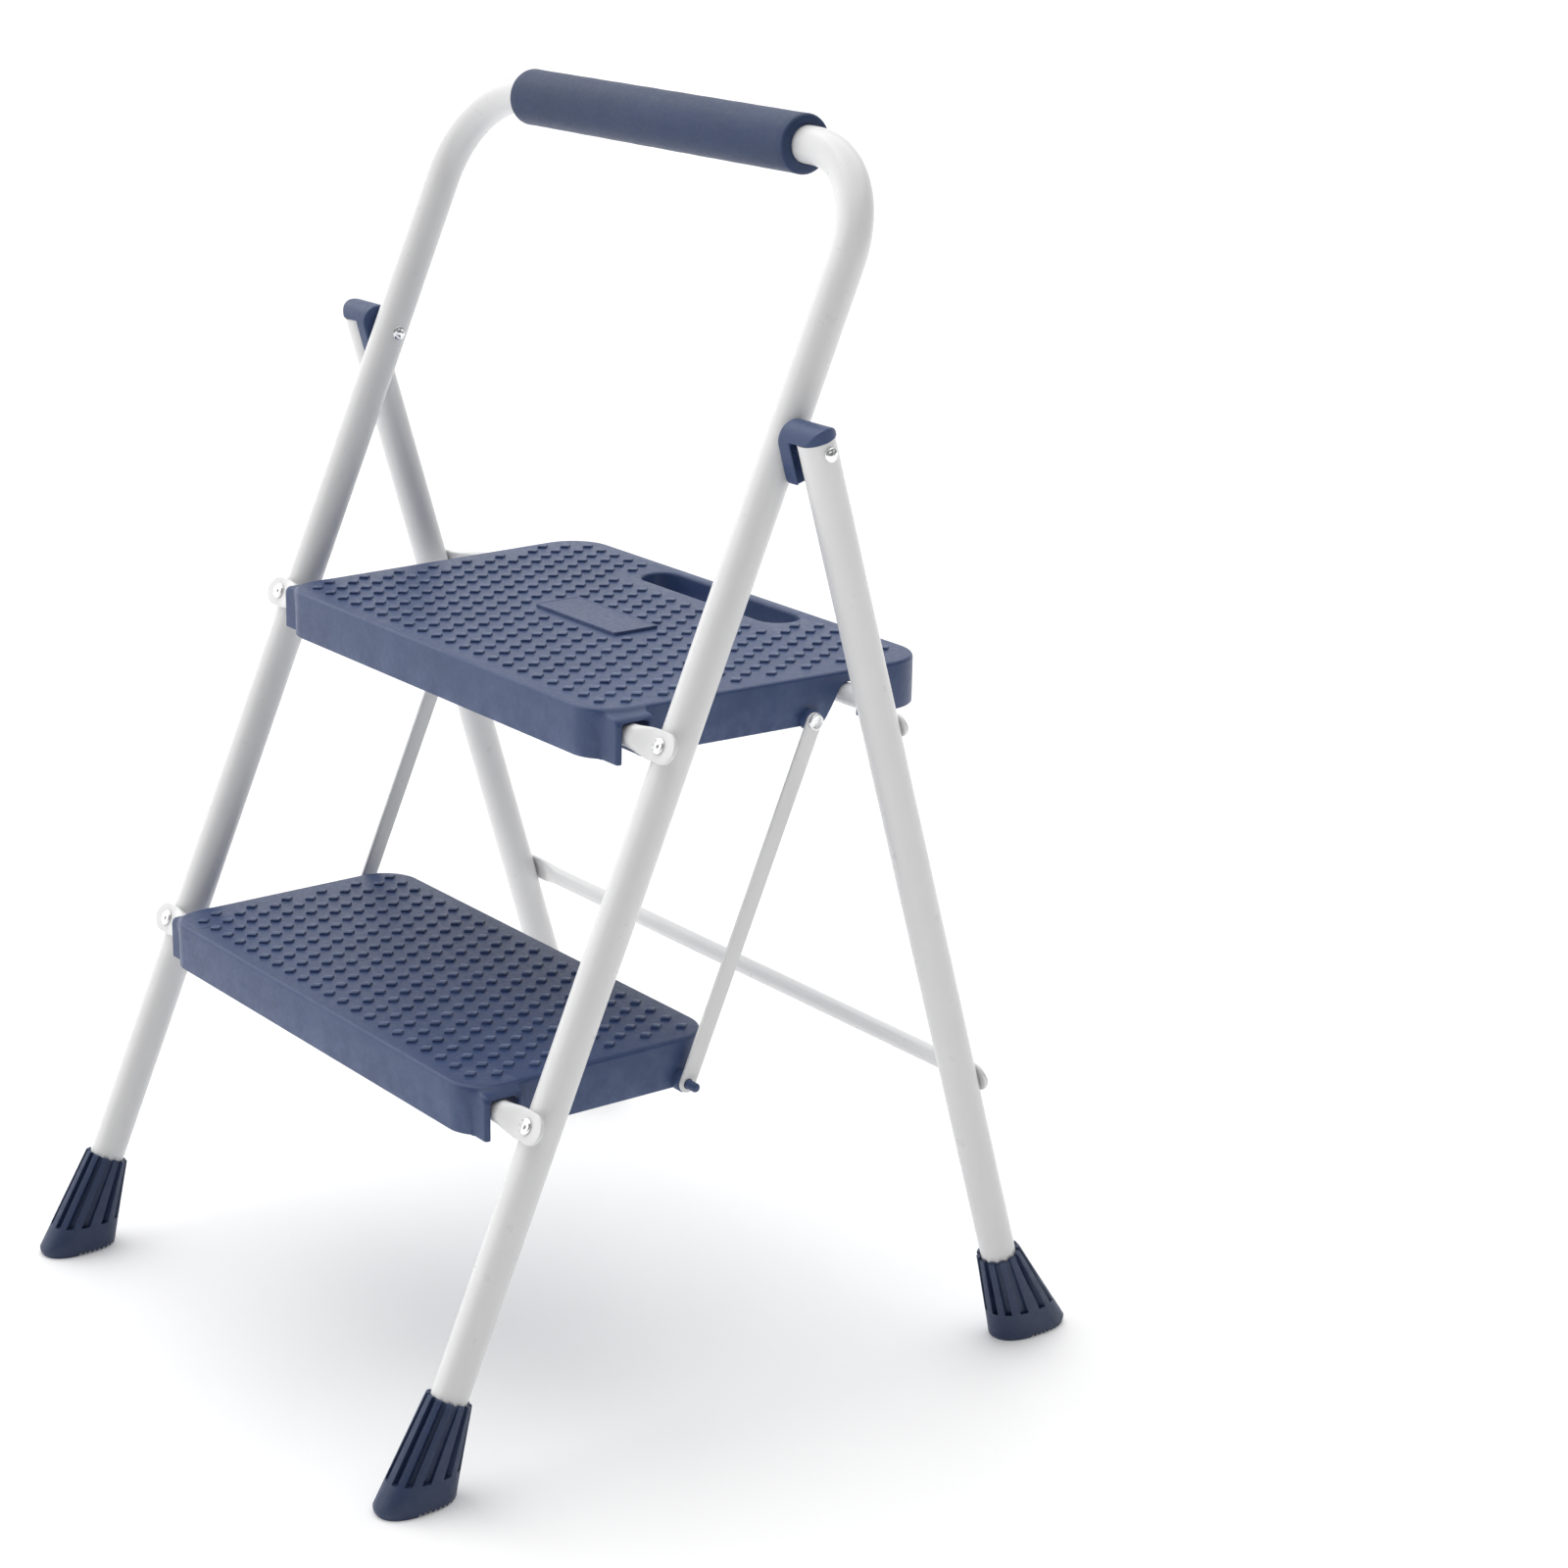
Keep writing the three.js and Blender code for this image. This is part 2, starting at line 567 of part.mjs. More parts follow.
function buildFrontFrame() {
  const group = groupAt(HINGE_Y, HINGE_Z, -FRONT_LEAN);
  add(group, 'front_frame_tube', frontFrameTube(), WHITE_PAINT);
  add(group, 'handle_grip', handleGrip(), BLUE_FOAM);
  const steps = { top: TOP_STEP_ALONG, bottom: TOP_STEP_ALONG - STEP_SPACING };
  for (const [level, along] of Object.entries(steps)) {
    const bar = crossBar(STEP_TUBE_RADIUS, STEP_EYE_X, STEP_EYE_X + EYE_OVERHANG, 0);
    const tube = add(group, `${level}_step_tube`, bar, WHITE_PAINT);
    tube.position.set(0, -EYE.out, along);
    for (const [name, side] of Object.entries(sides)) {
      const pin = add(group, `${level}_step_rivet_${name}`, rivet(wallGrip), BRIGHT_METAL);
      pin.position.set(side * STEP_EYE_X, -headOut, along);
      FACING.front(pin);
    }
  }
  return group;
}

function buildRearFrame() {
  const group = groupAt(HINGE_Y, HINGE_Z, REAR_LEAN);
  for (const [name, side] of Object.entries(sides)) {
    const x = side * REAR_HALF_SPACING;
    add(group, `rear_leg_${name}`, rearLeg(side), WHITE_PAINT).position.x = x;
    add(group, `hinge_cap_${name}`, hingeCap(side), BLUE_PLASTIC).position.x = x;
    const span = REAR_HALF_SPACING - FRONT_HALF_SPACING + 2 * LEG_RADIUS + 2 * GAP;
    const hinge = add(group, `hinge_rivet_${name}`, rivet(span, RIVET.head), BRIGHT_METAL);
    hinge.position.x = side * (REAR_HALF_SPACING + LEG_RADIUS + GAP);
    FACING[name](hinge);
    const screw = add(group, `foot_screw_${name}`, footScrew(), BRIGHT_METAL);
    screw.position.set(
      x - side * SCREW.out * Math.sin(SCREW.turn), -SCREW.out * Math.cos(SCREW.turn),
      floorAlong(REAR_LEAN) + SCREW.height,
    );
    screw.rotateZ(-side * SCREW.turn);
    FACING.front(screw);
  }
  for (const [level, bar] of Object.entries({ top: UPPER_BAR, bottom: LOWER_BAR })) {
    const shift = EYE.out - bar.out;
    const crossbar = crossBar(bar.radius, REAR_HALF_SPACING, REAR_HALF_SPACING, shift, bar.eye);
    const mesh = add(group, `rear_${level}_crossbar`, crossbar, WHITE_PAINT);
    mesh.position.set(0, bar.out, bar.along);
    for (const [name, side] of Object.entries(sides)) {
      const pin = add(group, `rear_${level}_rivet_${name}`, rivet(wallGrip), BRIGHT_METAL);
      pin.position.set(side * REAR_HALF_SPACING, headOut, bar.along);
      FACING.rear(pin);
    }
  }
  return group;
}

/** The four feet stand square to the floor, under the ends of the legs. */
function buildFeet() {
  const group = new THREE.Group();
  const frontY = onLeg(-FRONT_LEAN, 0, floorAlong(FRONT_LEAN)).y;
  const rearY = onLeg(REAR_LEAN, 0, floorAlong(REAR_LEAN)).y;
  for (const [name, side] of Object.entries(sides)) {
    const front = add(group, `front_foot_${name}`, foot(FRONT_FOOT), BLUE_PLASTIC);
    front.position.set(side * FRONT_HALF_SPACING, frontY, 0);
    const rear = add(group, `rear_foot_${name}`, foot(REAR_FOOT).subtract(screwHole(side)), BLUE_PLASTIC);
    rear.position.set(side * REAR_HALF_SPACING, rearY, 0);
  }
  return group;
}

function buildTopStep(pivot) {
  const group = groupAt(pivot.y, pivot.z, 0);
  add(group, 'top_step', topTread(), BLUE_PLASTIC);
  add(group, 'tread_plate', treadPlate(), BLUE_PLASTIC);
  const outer = LINK.inner + LINK.thickness + GAP;
  const grip = outer - halfWidthAt(TOP_TREAD, LINK_PIVOT.y) + WALL + 1;
  for (const [name, side] of Object.entries(sides)) {
    const pin = add(group, `link_rivet_${name}`, rivet(grip), BRIGHT_METAL);
    pin.position.set(side * outer, LINK_PIVOT.y, LINK_PIVOT.z);
    FACING[name](pin);
  }
  return group;
}

function buildBottomStep(pivot) {
  const group = groupAt(pivot.y, pivot.z, 0);
  add(group, 'bottom_step', bottomTread(), BLUE_PLASTIC);
  return group;
}

function buildLinks(pivot) {
  const group = groupAt(pivot.y + LINK_PIVOT.y, pivot.z + LINK_PIVOT.z, -FRONT_LEAN);
  for (const [name, side] of Object.entries(sides)) {
    add(group, `link_bar_${name}`, linkBar(side), WHITE_PAINT);
  }
  return group;
}

const topPivot = onLeg(-FRONT_LEAN, -EYE.out, TOP_STEP_ALONG);
const bottomPivot = onLeg(-FRONT_LEAN, -EYE.out, TOP_STEP_ALONG - STEP_SPACING);

const stool = new THREE.Group();
stool.add(
  buildFrontFrame(), buildRearFrame(), buildFeet(),
  buildTopStep(topPivot), buildBottomStep(bottomPivot), buildLinks(topPivot),
);

export default stool;
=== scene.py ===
"""Folding two-step stool with a foam handle: the detailed visual model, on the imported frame.

Shapes are worked out in millimetres, each in the local frame of the part that carries it, and are
placed in the stool's own frame (metres, +Z up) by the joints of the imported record.
"""

import json
import math
from math import cos, pi, radians, sin, sqrt

import bmesh
import bpy
import numpy as np
from mathutils import Matrix, Vector
from mathutils.geometry import tessellate_polygon


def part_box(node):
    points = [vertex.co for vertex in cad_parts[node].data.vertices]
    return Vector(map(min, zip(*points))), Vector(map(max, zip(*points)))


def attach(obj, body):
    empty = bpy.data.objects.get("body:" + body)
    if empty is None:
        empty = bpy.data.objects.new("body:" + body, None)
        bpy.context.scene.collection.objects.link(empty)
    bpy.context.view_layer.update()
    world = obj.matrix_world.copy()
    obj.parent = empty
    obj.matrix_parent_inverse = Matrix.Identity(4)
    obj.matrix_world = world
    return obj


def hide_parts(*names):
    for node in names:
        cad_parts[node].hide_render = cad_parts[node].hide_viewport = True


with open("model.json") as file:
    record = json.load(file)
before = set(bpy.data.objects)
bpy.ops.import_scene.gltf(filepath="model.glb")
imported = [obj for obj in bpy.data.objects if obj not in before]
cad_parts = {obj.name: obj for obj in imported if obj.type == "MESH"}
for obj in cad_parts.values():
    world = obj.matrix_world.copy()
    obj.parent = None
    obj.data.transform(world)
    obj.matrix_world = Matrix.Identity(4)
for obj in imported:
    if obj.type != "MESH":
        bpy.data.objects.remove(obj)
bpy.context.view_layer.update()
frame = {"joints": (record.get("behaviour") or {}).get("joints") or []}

MM = 0.001
JOINTS = {joint["name"]: Vector(joint["pos_m"]) for joint in frame["joints"]}
HINGE = JOINTS["rear_frame_fold"]
TOP_PIVOT = JOINTS["top_step_fold"]
BOTTOM_PIVOT = JOINTS["bottom_step_fold"]
LINK_TOP = JOINTS["link_fold"]
STEP_SPACING = (TOP_PIVOT - BOTTOM_PIVOT).length / MM
FRONT_LEAN = math.atan2(TOP_PIVOT.y - BOTTOM_PIVOT.y, TOP_PIVOT.z - BOTTOM_PIVOT.z)
REAR_LEAN = radians(16.65)
SIDES = {"left": -1, "right": 1}


def middle(node):
    """The middle of a CAD node's box, in metres."""
    low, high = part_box(node)
    return (low + high) / 2


def along_leg(turn, node):
    """A node's middle in the leg's own frame at the hinge: (across, out, along), in millimetres."""
    return Matrix.Rotation(-turn, 3, "X") @ (middle(node) - HINGE) / MM


FRONT = Matrix.Translation(HINGE) @ Matrix.Rotation(-FRONT_LEAN, 4, "X")
REAR = Matrix.Translation(HINGE) @ Matrix.Rotation(REAR_LEAN, 4, "X")
TOP = Matrix.Translation(TOP_PIVOT)
BOTTOM = Matrix.Translation(BOTTOM_PIVOT)
LINK = Matrix.Translation(LINK_TOP) @ Matrix.Rotation(-FRONT_LEAN, 4, "X")

# ---- driving dimensions, millimetres ----
FRONT_HALF = 238.5
REAR_HALF = middle("rear_leg_right").x / MM
LEG_RADIUS = 12.5
BEND_RADIUS = 70
TUBE_SIDES = 56
TUBE_FOOT = 15  # from the floor to a frame tube's lower end, along the tube
REAR_TUBE_TOP = 8.2  # above the hinge
GRIP_ALONG = along_leg(-FRONT_LEAN, "handle_grip").z
GRIP = {"radius": 20, "bore": 13.1, "half": 161.3, "rounding": 3}
GAP = 0.3
EYE = {"radius": 10.6, "half": 1.6, "taper": 26.4, "out": 14.4}
STEP_TUBE = {"radius": 8, "eye": 10.6, "rivet": 241, "end": 246}
UPPER_BAR = {"radius": 7.5, "eye": 8.5, "out": 26, "along": -202.8}
LOWER_BAR = {"radius": 6.5, "eye": 10.6, "out": 14.4, "along": -481.3}
TREAD_TOP = 16
SKIRT_BOTTOM = -17.8
WALL = 3
TOP_PLAN = {"front": -22, "rear": 250.6, "half_front": 200, "half_rear": 211.2, "corners": (26, 34)}
BOTTOM_PLAN = {"front": -20.5, "rear": 176.2, "half_front": 205.2, "half_rear": 206.4, "corners": (26, 30)}
NOTCH = {"from": -9.3, "to": 12, "top": 9.2, "border": 4, "lip": 212}
REAR_NOTCH = {"y": 178.8, "z": -0.9, "radius": 8.6, "foot_front": 158.6, "foot_rear": 188,
              "leaves_at": 155, "pull": (12, 6)}
SLOT = {"centre": 225, "half_width": 16, "half_length": 85, "collar": 3, "lip": 2.6}
PLATE = {"centre": 117, "width": 99, "depth": 37.4, "proud": 2.4}
LINK_PIVOT = (145.6, -13.4)
LINK_BAR = {"half": 6.25, "thickness": 2.5, "inner": 212.8}
TREAD_PIN = {"radius": 3.2, "root": 200, "end": 225.2}
STUD = {"half_across": 4.4, "half_long": 5.0, "pitch": 17.9, "row_pitch": 14.8, "inside": 15.0}
RIB = {"half": 1.2, "lowest": 7, "across": (60, 115), "along": (-150, -75, 0, 75, 150)}
SADDLE = {"half": 1.6, "lowest": -13.8, "rear": 20}
FOOT = {"rim": 15.7, "half_width": 17.4, "squareness": 0.85, "sole": 5, "bore": 13, "band": 21.0}
FLUTES = {"count": 12, "duty": 0.43, "core": 14.1, "drop": 1.2}
TEETH = {"pitch": 4.2, "height": 2.2}
FRONT_FOOT = {"lean": FRONT_LEAN, "along": 74, "half_length": 29, "shift": 2.6}
REAR_FOOT = {"lean": -REAR_LEAN, "along": 70.5, "half_length": 31.5, "shift": 9.5}
RIVET = {"head": 5.7, "height": 2.8, "tail": 1.6, "shank": 2.5, "grip": 7.9}
HINGE_PIN_HEAD = 4.9
SCREW = {"out": 18.2, "up": 31, "turn": radians(80)}
FIELD_STEP = 0.8


# ---- shapes: a shape is (points, faces) ----
def merge(*shapes):
    points, faces = [], []
    for some_points, some_faces in shapes:
        start = len(points)
        points.extend(some_points)
        faces.extend(tuple(start + i for i in face) for face in some_faces)
    return points, faces


def moved(shape, matrix):
    points, faces = shape
    return [matrix @ Vector(p) for p in points], faces


def skin(rings, caps=(True, True), closed=True):
    """A surface through rings of equally many points."""
    count = len(rings[0])
    points = [p for ring in rings for p in ring]
    faces = []
    for i in range(len(rings) - 1):
        for j in range(count if closed else count - 1):
            k = (j + 1) % count
            faces.append((i * count + j, i * count + k, (i + 1) * count + k, (i + 1) * count + j))
    if caps[0]:
        faces.append(tuple(reversed(range(count))))
    if caps[1]:
        last = (len(rings) - 1) * count
        faces.append(tuple(last + j for j in range(count)))
    return points, faces


def turned(profile, sides=48, lift=None):
    """A shape turned about +Z from (radius, height) pairs. lift(radius, angle, height) raises a point."""
    angles = [2 * pi * j / sides for j in range(sides)]
    rings = []
    for r, h in profile:
        rings.append([(r * cos(a), r * sin(a), h + (lift(r, a, h) if lift else 0)) for a in angles])
    return skin(rings)


def box(low, high):
    (x0, y0, z0), (x1, y1, z1) = low, high
    return skin([[(x0, y0, z), (x1, y0, z), (x1, y1, z), (x0, y1, z)] for z in (z0, z1)])


def arc(centre, radius, start, end, steps):
    """Points on an arc between two angles in degrees."""
    turns = [radians(start + (end - start) * i / steps) for i in range(steps + 1)]
    return [(centre[0] + radius * cos(a), centre[1] + radius * sin(a)) for a in turns]


def smooth_step(t):
    t = min(max(t, 0.0), 1.0)
    return t * t * (3 - 2 * t)


def mix(a, b, t):
    return a + (b - a) * t


# ---- shapes from distance fields, for mouldings with soft edges ----
def rounded_box(x, y, z, low, high, radius):
    q = [abs(v - (a + b) / 2) - (b - a) / 2 + radius for v, a, b in zip((x, y, z), low, high)]
    outside = np.sqrt(sum(np.maximum(v, 0) ** 2 for v in q))
    return outside + np.minimum(np.maximum(np.maximum(q[0], q[1]), q[2]), 0) - radius


def corner_2d(a, b, radius):
    """The distance to a convex corner between two half-planes, rounded."""
    a, b = a + radius, b + radius
    outside = np.sqrt(np.maximum(a, 0) ** 2 + np.maximum(b, 0) ** 2)
    return outside + np.minimum(np.maximum(a, b), 0) - radius


def soft_union(a, b, k):
    """Two fields joined, blended where they lie within k of each other."""
    h = np.maximum(k - abs(a - b), 0) / k
    return np.minimum(a, b) - h * h * k / 4


def soft_common(a, b, k):
    return -soft_union(-a, -b, k)


def surface_of(field, low, high, step):
    """The zero surface of a distance field: its points, faces and outward normals."""
    axes = [np.arange(a, b + step, step) for a, b in zip(low, high)]
    grid = np.meshgrid(*axes, indexing="ij")
    value = field(*grid)
    cells = tuple(n - 1 for n in value.shape)
    total, count = np.zeros(cells + (3,)), np.zeros(cells)
    ends = [(i, j, k) for i in (0, 1) for j in (0, 1) for k in (0, 1)]

    def corner(array, offset):
        return array[tuple(slice(o, o + n) for o, n in zip(offset, cells))]

    for axis in range(3):
        for start in ends:
            if start[axis]:
                continue
            end = tuple(1 if n == axis else start[n] for n in range(3))
            f0, f1 = corner(value, start), corner(value, end)
            crossed = (f0 < 0) != (f1 < 0)
            t = np.where(crossed, f0 / np.where(crossed, f0 - f1, 1), 0)
            for n in range(3):
                at = corner(grid[n], start) + (t * step if n == axis else 0)
                total[..., n] += np.where(crossed, at, 0)
            count += crossed
    active = count > 0
    index = np.full(cells, -1)
    index[active] = np.arange(active.sum())
    points = total[active] / count[active][:, None]
    faces = []
    for axis in range(3):
        u, v = (axis + 1) % 3, (axis + 2) % 3
        first = np.take(value, range(value.shape[axis] - 1), axis)
        second = np.take(value, range(1, value.shape[axis]), axis)
        for at in np.argwhere((first < 0) != (second < 0)):
            if min(at[u], at[v]) < 1 or at[u] >= cells[u] or at[v] >= cells[v]:
                continue
            quad = []
            for du, dv in ((1, 1), (0, 1), (0, 0), (1, 0)):
                cell = at.copy()
                cell[u] -= du
                cell[v] -= dv
                quad.append(int(index[tuple(cell)]))
            faces.append(tuple(quad if first[tuple(at)] < 0 else reversed(quad)))

    def slope(p):
        h = step * 0.2
        rise = [field(*(p + h * d).T) - field(*(p - h * d).T) for d in np.eye(3)]
        gradient = np.stack(rise, 1) / (2 * h)
        return gradient / np.maximum(np.linalg.norm(gradient, axis=1, keepdims=True), 1e-6)

    for _ in range(2):
        shift = np.clip(field(*points.T), -step / 2, step / 2)
        points = points - shift[:, None] * slope(points)
    return points, faces, slope(points)


# ---- materials ----
class Finish:
    """A node material with colour, roughness and relief that vary over the surface."""

    def __init__(self, name, color, roughness, metallic=0.0):
        self.material = bpy.data.materials.new(name)
        self.material.use_nodes = True
        self.tree = self.material.node_tree
        self.shader = self.tree.nodes["Principled BSDF"]
        self.plain("Metallic", metallic)
        self.place = self.add("ShaderNodeTexCoord").outputs["Object"]
        self.color, self.roughness = color, roughness
        self.normal = None

    def add(self, kind, **values):
        node = self.tree.nodes.new(kind)
        for key, value in values.items():
            setattr(node, key, value)
        return node

    def plain(self, socket, value):
        self.shader.inputs[socket].default_value = value

    def link(self, output, target):
        self.tree.links.new(output, target)

    def noise(self, scale, detail=3.0, rough=0.5, stretch=None):
        node = self.add("ShaderNodeTexNoise")
        node.inputs["Scale"].default_value = scale
        node.inputs["Detail"].default_value = detail
        node.inputs["Roughness"].default_value = rough
        source = self.place
        if stretch:
            mapping = self.add("ShaderNodeMapping")
            mapping.inputs["Scale"].default_value = stretch
            self.link(source, mapping.inputs["Vector"])
            source = mapping.outputs["Vector"]
        self.link(source, node.inputs["Vector"])
        return node.outputs["Fac"]

    def cells(self, scale, feature="F1"):
        node = self.add("ShaderNodeTexVoronoi", feature=feature)
        node.inputs["Scale"].default_value = scale
        self.link(self.place, node.inputs["Vector"])
        return node.outputs["Distance"]

    def remap(self, value, low, high, to_low, to_high):
        node = self.add("ShaderNodeMapRange")
        for name, number in zip(("From Min", "From Max", "To Min", "To Max"), (low, high, to_low, to_high)):
            node.inputs[name].default_value = number
        self.link(value, node.inputs["Value"])
        return node.outputs["Result"]

    def blend(self, factor, first, second):
        node = self.add("ShaderNodeMix", data_type="RGBA")
        self.link(factor, node.inputs["Factor"])
        for socket, value in ((node.inputs[6], first), (node.inputs[7], second)):
            if isinstance(value, tuple):
                socket.default_value = (*value, 1)
            else:
                self.link(value, socket)
        return node.outputs[2]

    def paint(self, variation, layers=()):
        """Base colour: broad variation, then layers of (factor, colour) over it."""
        dark, light = (tuple(min(c * (1 + s * variation), 1) for c in self.color) for s in (-1, 1))
        shade = self.blend(self.remap(self.noise(14, 4), 0.35, 0.65, 0, 1), dark, light)
        for factor, color in layers:
            shade = self.blend(factor, shade, color)
        self.link(shade, self.shader.inputs["Base Color"])

    def polish(self, spread, scale):
        low, high = self.roughness - spread, self.roughness + spread
        self.link(self.remap(self.noise(scale, 5), 0.3, 0.7, low, high), self.shader.inputs["Roughness"])

    def relief(self, height, strength, distance):
        node = self.add("ShaderNodeBump")
        node.inputs["Strength"].default_value = strength
        node.inputs["Distance"].default_value = distance
        self.link(height, node.inputs["Height"])
        if self.normal:
            self.link(self.normal, node.inputs["Normal"])
        self.normal = node.outputs["Normal"]
        self.link(self.normal, self.shader.inputs["Normal"])

    def edges(self, low=0.52, high=0.58):
        """How far a spot lies on an outward edge, from 0 to 1: the mask for rubbed wear, and on the treads also
        for a painted highlight.
        """
        return self.remap(self.add("ShaderNodeNewGeometry").outputs["Pointiness"], low, high, 0, 1)


def times(finish, a, b):
    """The product of a socket and a socket or number."""
    node = finish.add("ShaderNodeMath", operation="MULTIPLY")
    finish.link(a, node.inputs[0])
    if isinstance(b, (int, float)):
        node.inputs[1].default_value = b
    else:
        finish.link(b, node.inputs[1])
    return node.outputs[0]


def white_paint():
    f = Finish("white_powder_coat", (0.80, 0.80, 0.80), 0.33)
    speck = f.remap(f.cells(420), 0.0, 0.06, 0.35, 0)
    marks = f.remap(f.noise(60, 6, 0.7, (1, 1, 0.12)), 0.66, 0.72, 0, 0.35)
    scuff = times(f, marks, f.remap(f.noise(7, 2), 0.5, 0.62, 0, 1))
    f.paint(0.012, [(speck, (0.74, 0.74, 0.74)), (scuff, (0.64, 0.64, 0.64))])
    f.polish(0.06, 90)
    f.relief(f.noise(620, 2, 0.4), 0.10, 0.0006)
    f.relief(f.noise(90, 2, 0.4), 0.06, 0.001)
    f.plain("Coat Weight", 0.25)
    f.plain("Coat Roughness", 0.12)
    return f.material


def tread_plastic():
    f = Finish("blue_moulded_plastic", (0.029, 0.056, 0.148), 0.40)
    # Paler edges: partly rubbed wear, partly a painted highlight along the eased top edges and corners.
    paler_edges = times(f, f.edges(0.51, 0.60), f.remap(f.noise(45, 5, 0.65), 0.4, 0.65, 0.15, 0.8))
    dust = f.remap(f.noise(9, 5, 0.7), 0.55, 0.8, 0, 0.18)
    f.paint(0.05, [(dust, (0.055, 0.085, 0.170)), (paler_edges, (0.12, 0.165, 0.30))])
    f.polish(0.07, 260)
    f.relief(f.noise(1500, 3, 0.6), 0.14, 0.0004)
    f.relief(f.noise(160, 2, 0.4), 0.015, 0.0006)
    f.plain("Specular IOR Level", 0.45)
    return f.material


def foot_plastic():
    f = Finish("blue_foot_plastic", (0.020, 0.038, 0.096), 0.5)
    # Paler edges: rubbed wear.
    paler_edges = times(f, f.edges(0.52, 0.60), f.remap(f.noise(80, 5, 0.65), 0.45, 0.65, 0, 0.7))
    grime = times(f, f.remap(f.noise(70, 6, 0.7), 0.5, 0.75, 0, 0.5), 0.6)
    f.paint(0.07, [(grime, (0.045, 0.060, 0.11)), (paler_edges, (0.07, 0.10, 0.19))])
    f.polish(0.09, 180)
    f.relief(f.noise(1300, 3, 0.6), 0.3, 0.0004)
    return f.material


def foam():
    f = Finish("closed_cell_foam", (0.021, 0.042, 0.108), 0.50)
    pores = f.remap(f.cells(1400), 0.0, 0.35, 0.55, 0)
    creases = f.remap(f.noise(30, 4, 0.6, (0.35, 1, 1)), 0.52, 0.7, 0, 0.3)
    f.paint(0.07, [(pores, (0.020, 0.036, 0.085)), (creases, (0.042, 0.070, 0.15))])
    f.polish(0.06, 300)
    f.relief(f.cells(1400), 0.22, 0.0005)
    f.relief(f.noise(55, 3, 0.5, (0.5, 1, 1)), 0.04, 0.002)
    f.plain("Specular IOR Level", 0.32)
    f.plain("Sheen Weight", 0.06)
    f.plain("Sheen Roughness", 0.45)
    return f.material


def bright_metal():
    f = Finish("bright_plating", (0.86, 0.865, 0.87), 0.27, 1.0)
    scratches = f.remap(f.noise(900, 4, 0.7, (1, 6, 1)), 0.6, 0.75, 0, 0.35)
    f.paint(0.03, [(scratches, (0.7, 0.705, 0.71))])
    f.polish(0.08, 500)
    f.relief(f.noise(500, 3, 0.6), 0.12, 0.0003)
    return f.material


MATERIALS = {make.__name__: make() for make in (white_paint, tread_plastic, foot_plastic, foam, bright_metal)}


def place(name, data):
    """A new object in the scene."""
    holder = bpy.data.objects.new(name, data)
    bpy.context.scene.collection.objects.link(holder)
    return holder


def add_piece(name, shape, at, body, slot, nodes=(), sharp=32, normals=None):
    """A named piece of the model: it rides on a body and stands for CAD nodes."""
    points, faces = shape
    mesh = bpy.data.meshes.new(name)
    mesh.from_pydata([at @ (Vector(p) * MM) for p in points], [], faces)
    if normals is None:
        work = bmesh.new()
        work.from_mesh(mesh)
        bmesh.ops.remove_doubles(work, verts=work.verts, dist=1e-6)
        bmesh.ops.recalc_face_normals(work, faces=work.faces)
        work.to_mesh(mesh)
        work.free()
        mesh.shade_smooth()
        mesh.set_sharp_from_angle(angle=radians(sharp))
    else:
        mesh.shade_smooth()
        turn = at.to_3x3()
        mesh.normals_split_custom_set_from_vertices([turn @ Vector(n) for n in normals])
    piece = place(name, mesh)
    mesh.materials.append(MATERIALS[slot])
    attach(piece, body)
    if nodes:
        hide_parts(*nodes)
    return piece


# ---- tubes ----
def circle_ring(centre, direction, radius, sides):
    """A ring round a point in the XZ plane, square to a direction in that plane."""
    across, back = Vector((direction.z, 0, -direction.x)), Vector((0, 1, 0))
    angles = [2 * pi * j / sides for j in range(sides)]
    return [centre + across * radius * cos(a) + back * radius * sin(a) for a in angles]


def frame_tube():
    """The inverted U, in the plane of its legs."""
    bottom = -HINGE.z / MM / cos(FRONT_LEAN) + TUBE_FOOT
    steps = 28
    bend_x, bend_z = FRONT_HALF - BEND_RADIUS, GRIP_ALONG - BEND_RADIUS
    stations = [(Vector((-FRONT_HALF, 0, bottom)), Vector((0, 0, 1)))]
    for side in (-1, 1):
        for i in range(steps + 1):
            angle = (pi if side < 0 else pi / 2) - i / steps * pi / 2
            c, s = cos(angle), sin(angle)
            centre = Vector((side * bend_x + BEND_RADIUS * c, 0, bend_z + BEND_RADIUS * s))
            stations.append((centre, Vector((s, 0, -c))))
    stations.append((Vector((FRONT_HALF, 0, bottom)), Vector((0, 0, -1))))
    return skin([circle_ring(centre, toward, LEG_RADIUS, TUBE_SIDES) for centre, toward in stations])


def straight_tube(x, bottom, top):
    """A rear leg, upright in its own frame."""
    profile = [(LEG_RADIUS, z) for z in (bottom, bottom / 2, top)]
    return moved(turned(profile, TUBE_SIDES), Matrix.Translation((x, 0, 0)))


def bar_section(x, radius, eye, flat, shift, wide_end=1.0):
    """A section of a cross bar: round where flat is 0, a thick-edged flat at the eyes, where it is 1."""
    sides = 48
    deep, wide = mix(radius, EYE["half"], flat), mix(radius, eye * wide_end, flat)
    deep_power, wide_power = mix(1.0, 0.32, flat), mix(1.0, 0.62, flat)
    ring = []
    for j in range(sides):
        c, s = cos(2 * pi * j / sides), sin(2 * pi * j / sides)
        y = deep * math.copysign(abs(c) ** deep_power, c)
        z = wide * math.copysign(abs(s) ** wide_power, s)
        ring.append((x, shift * flat + y, z))
    return ring


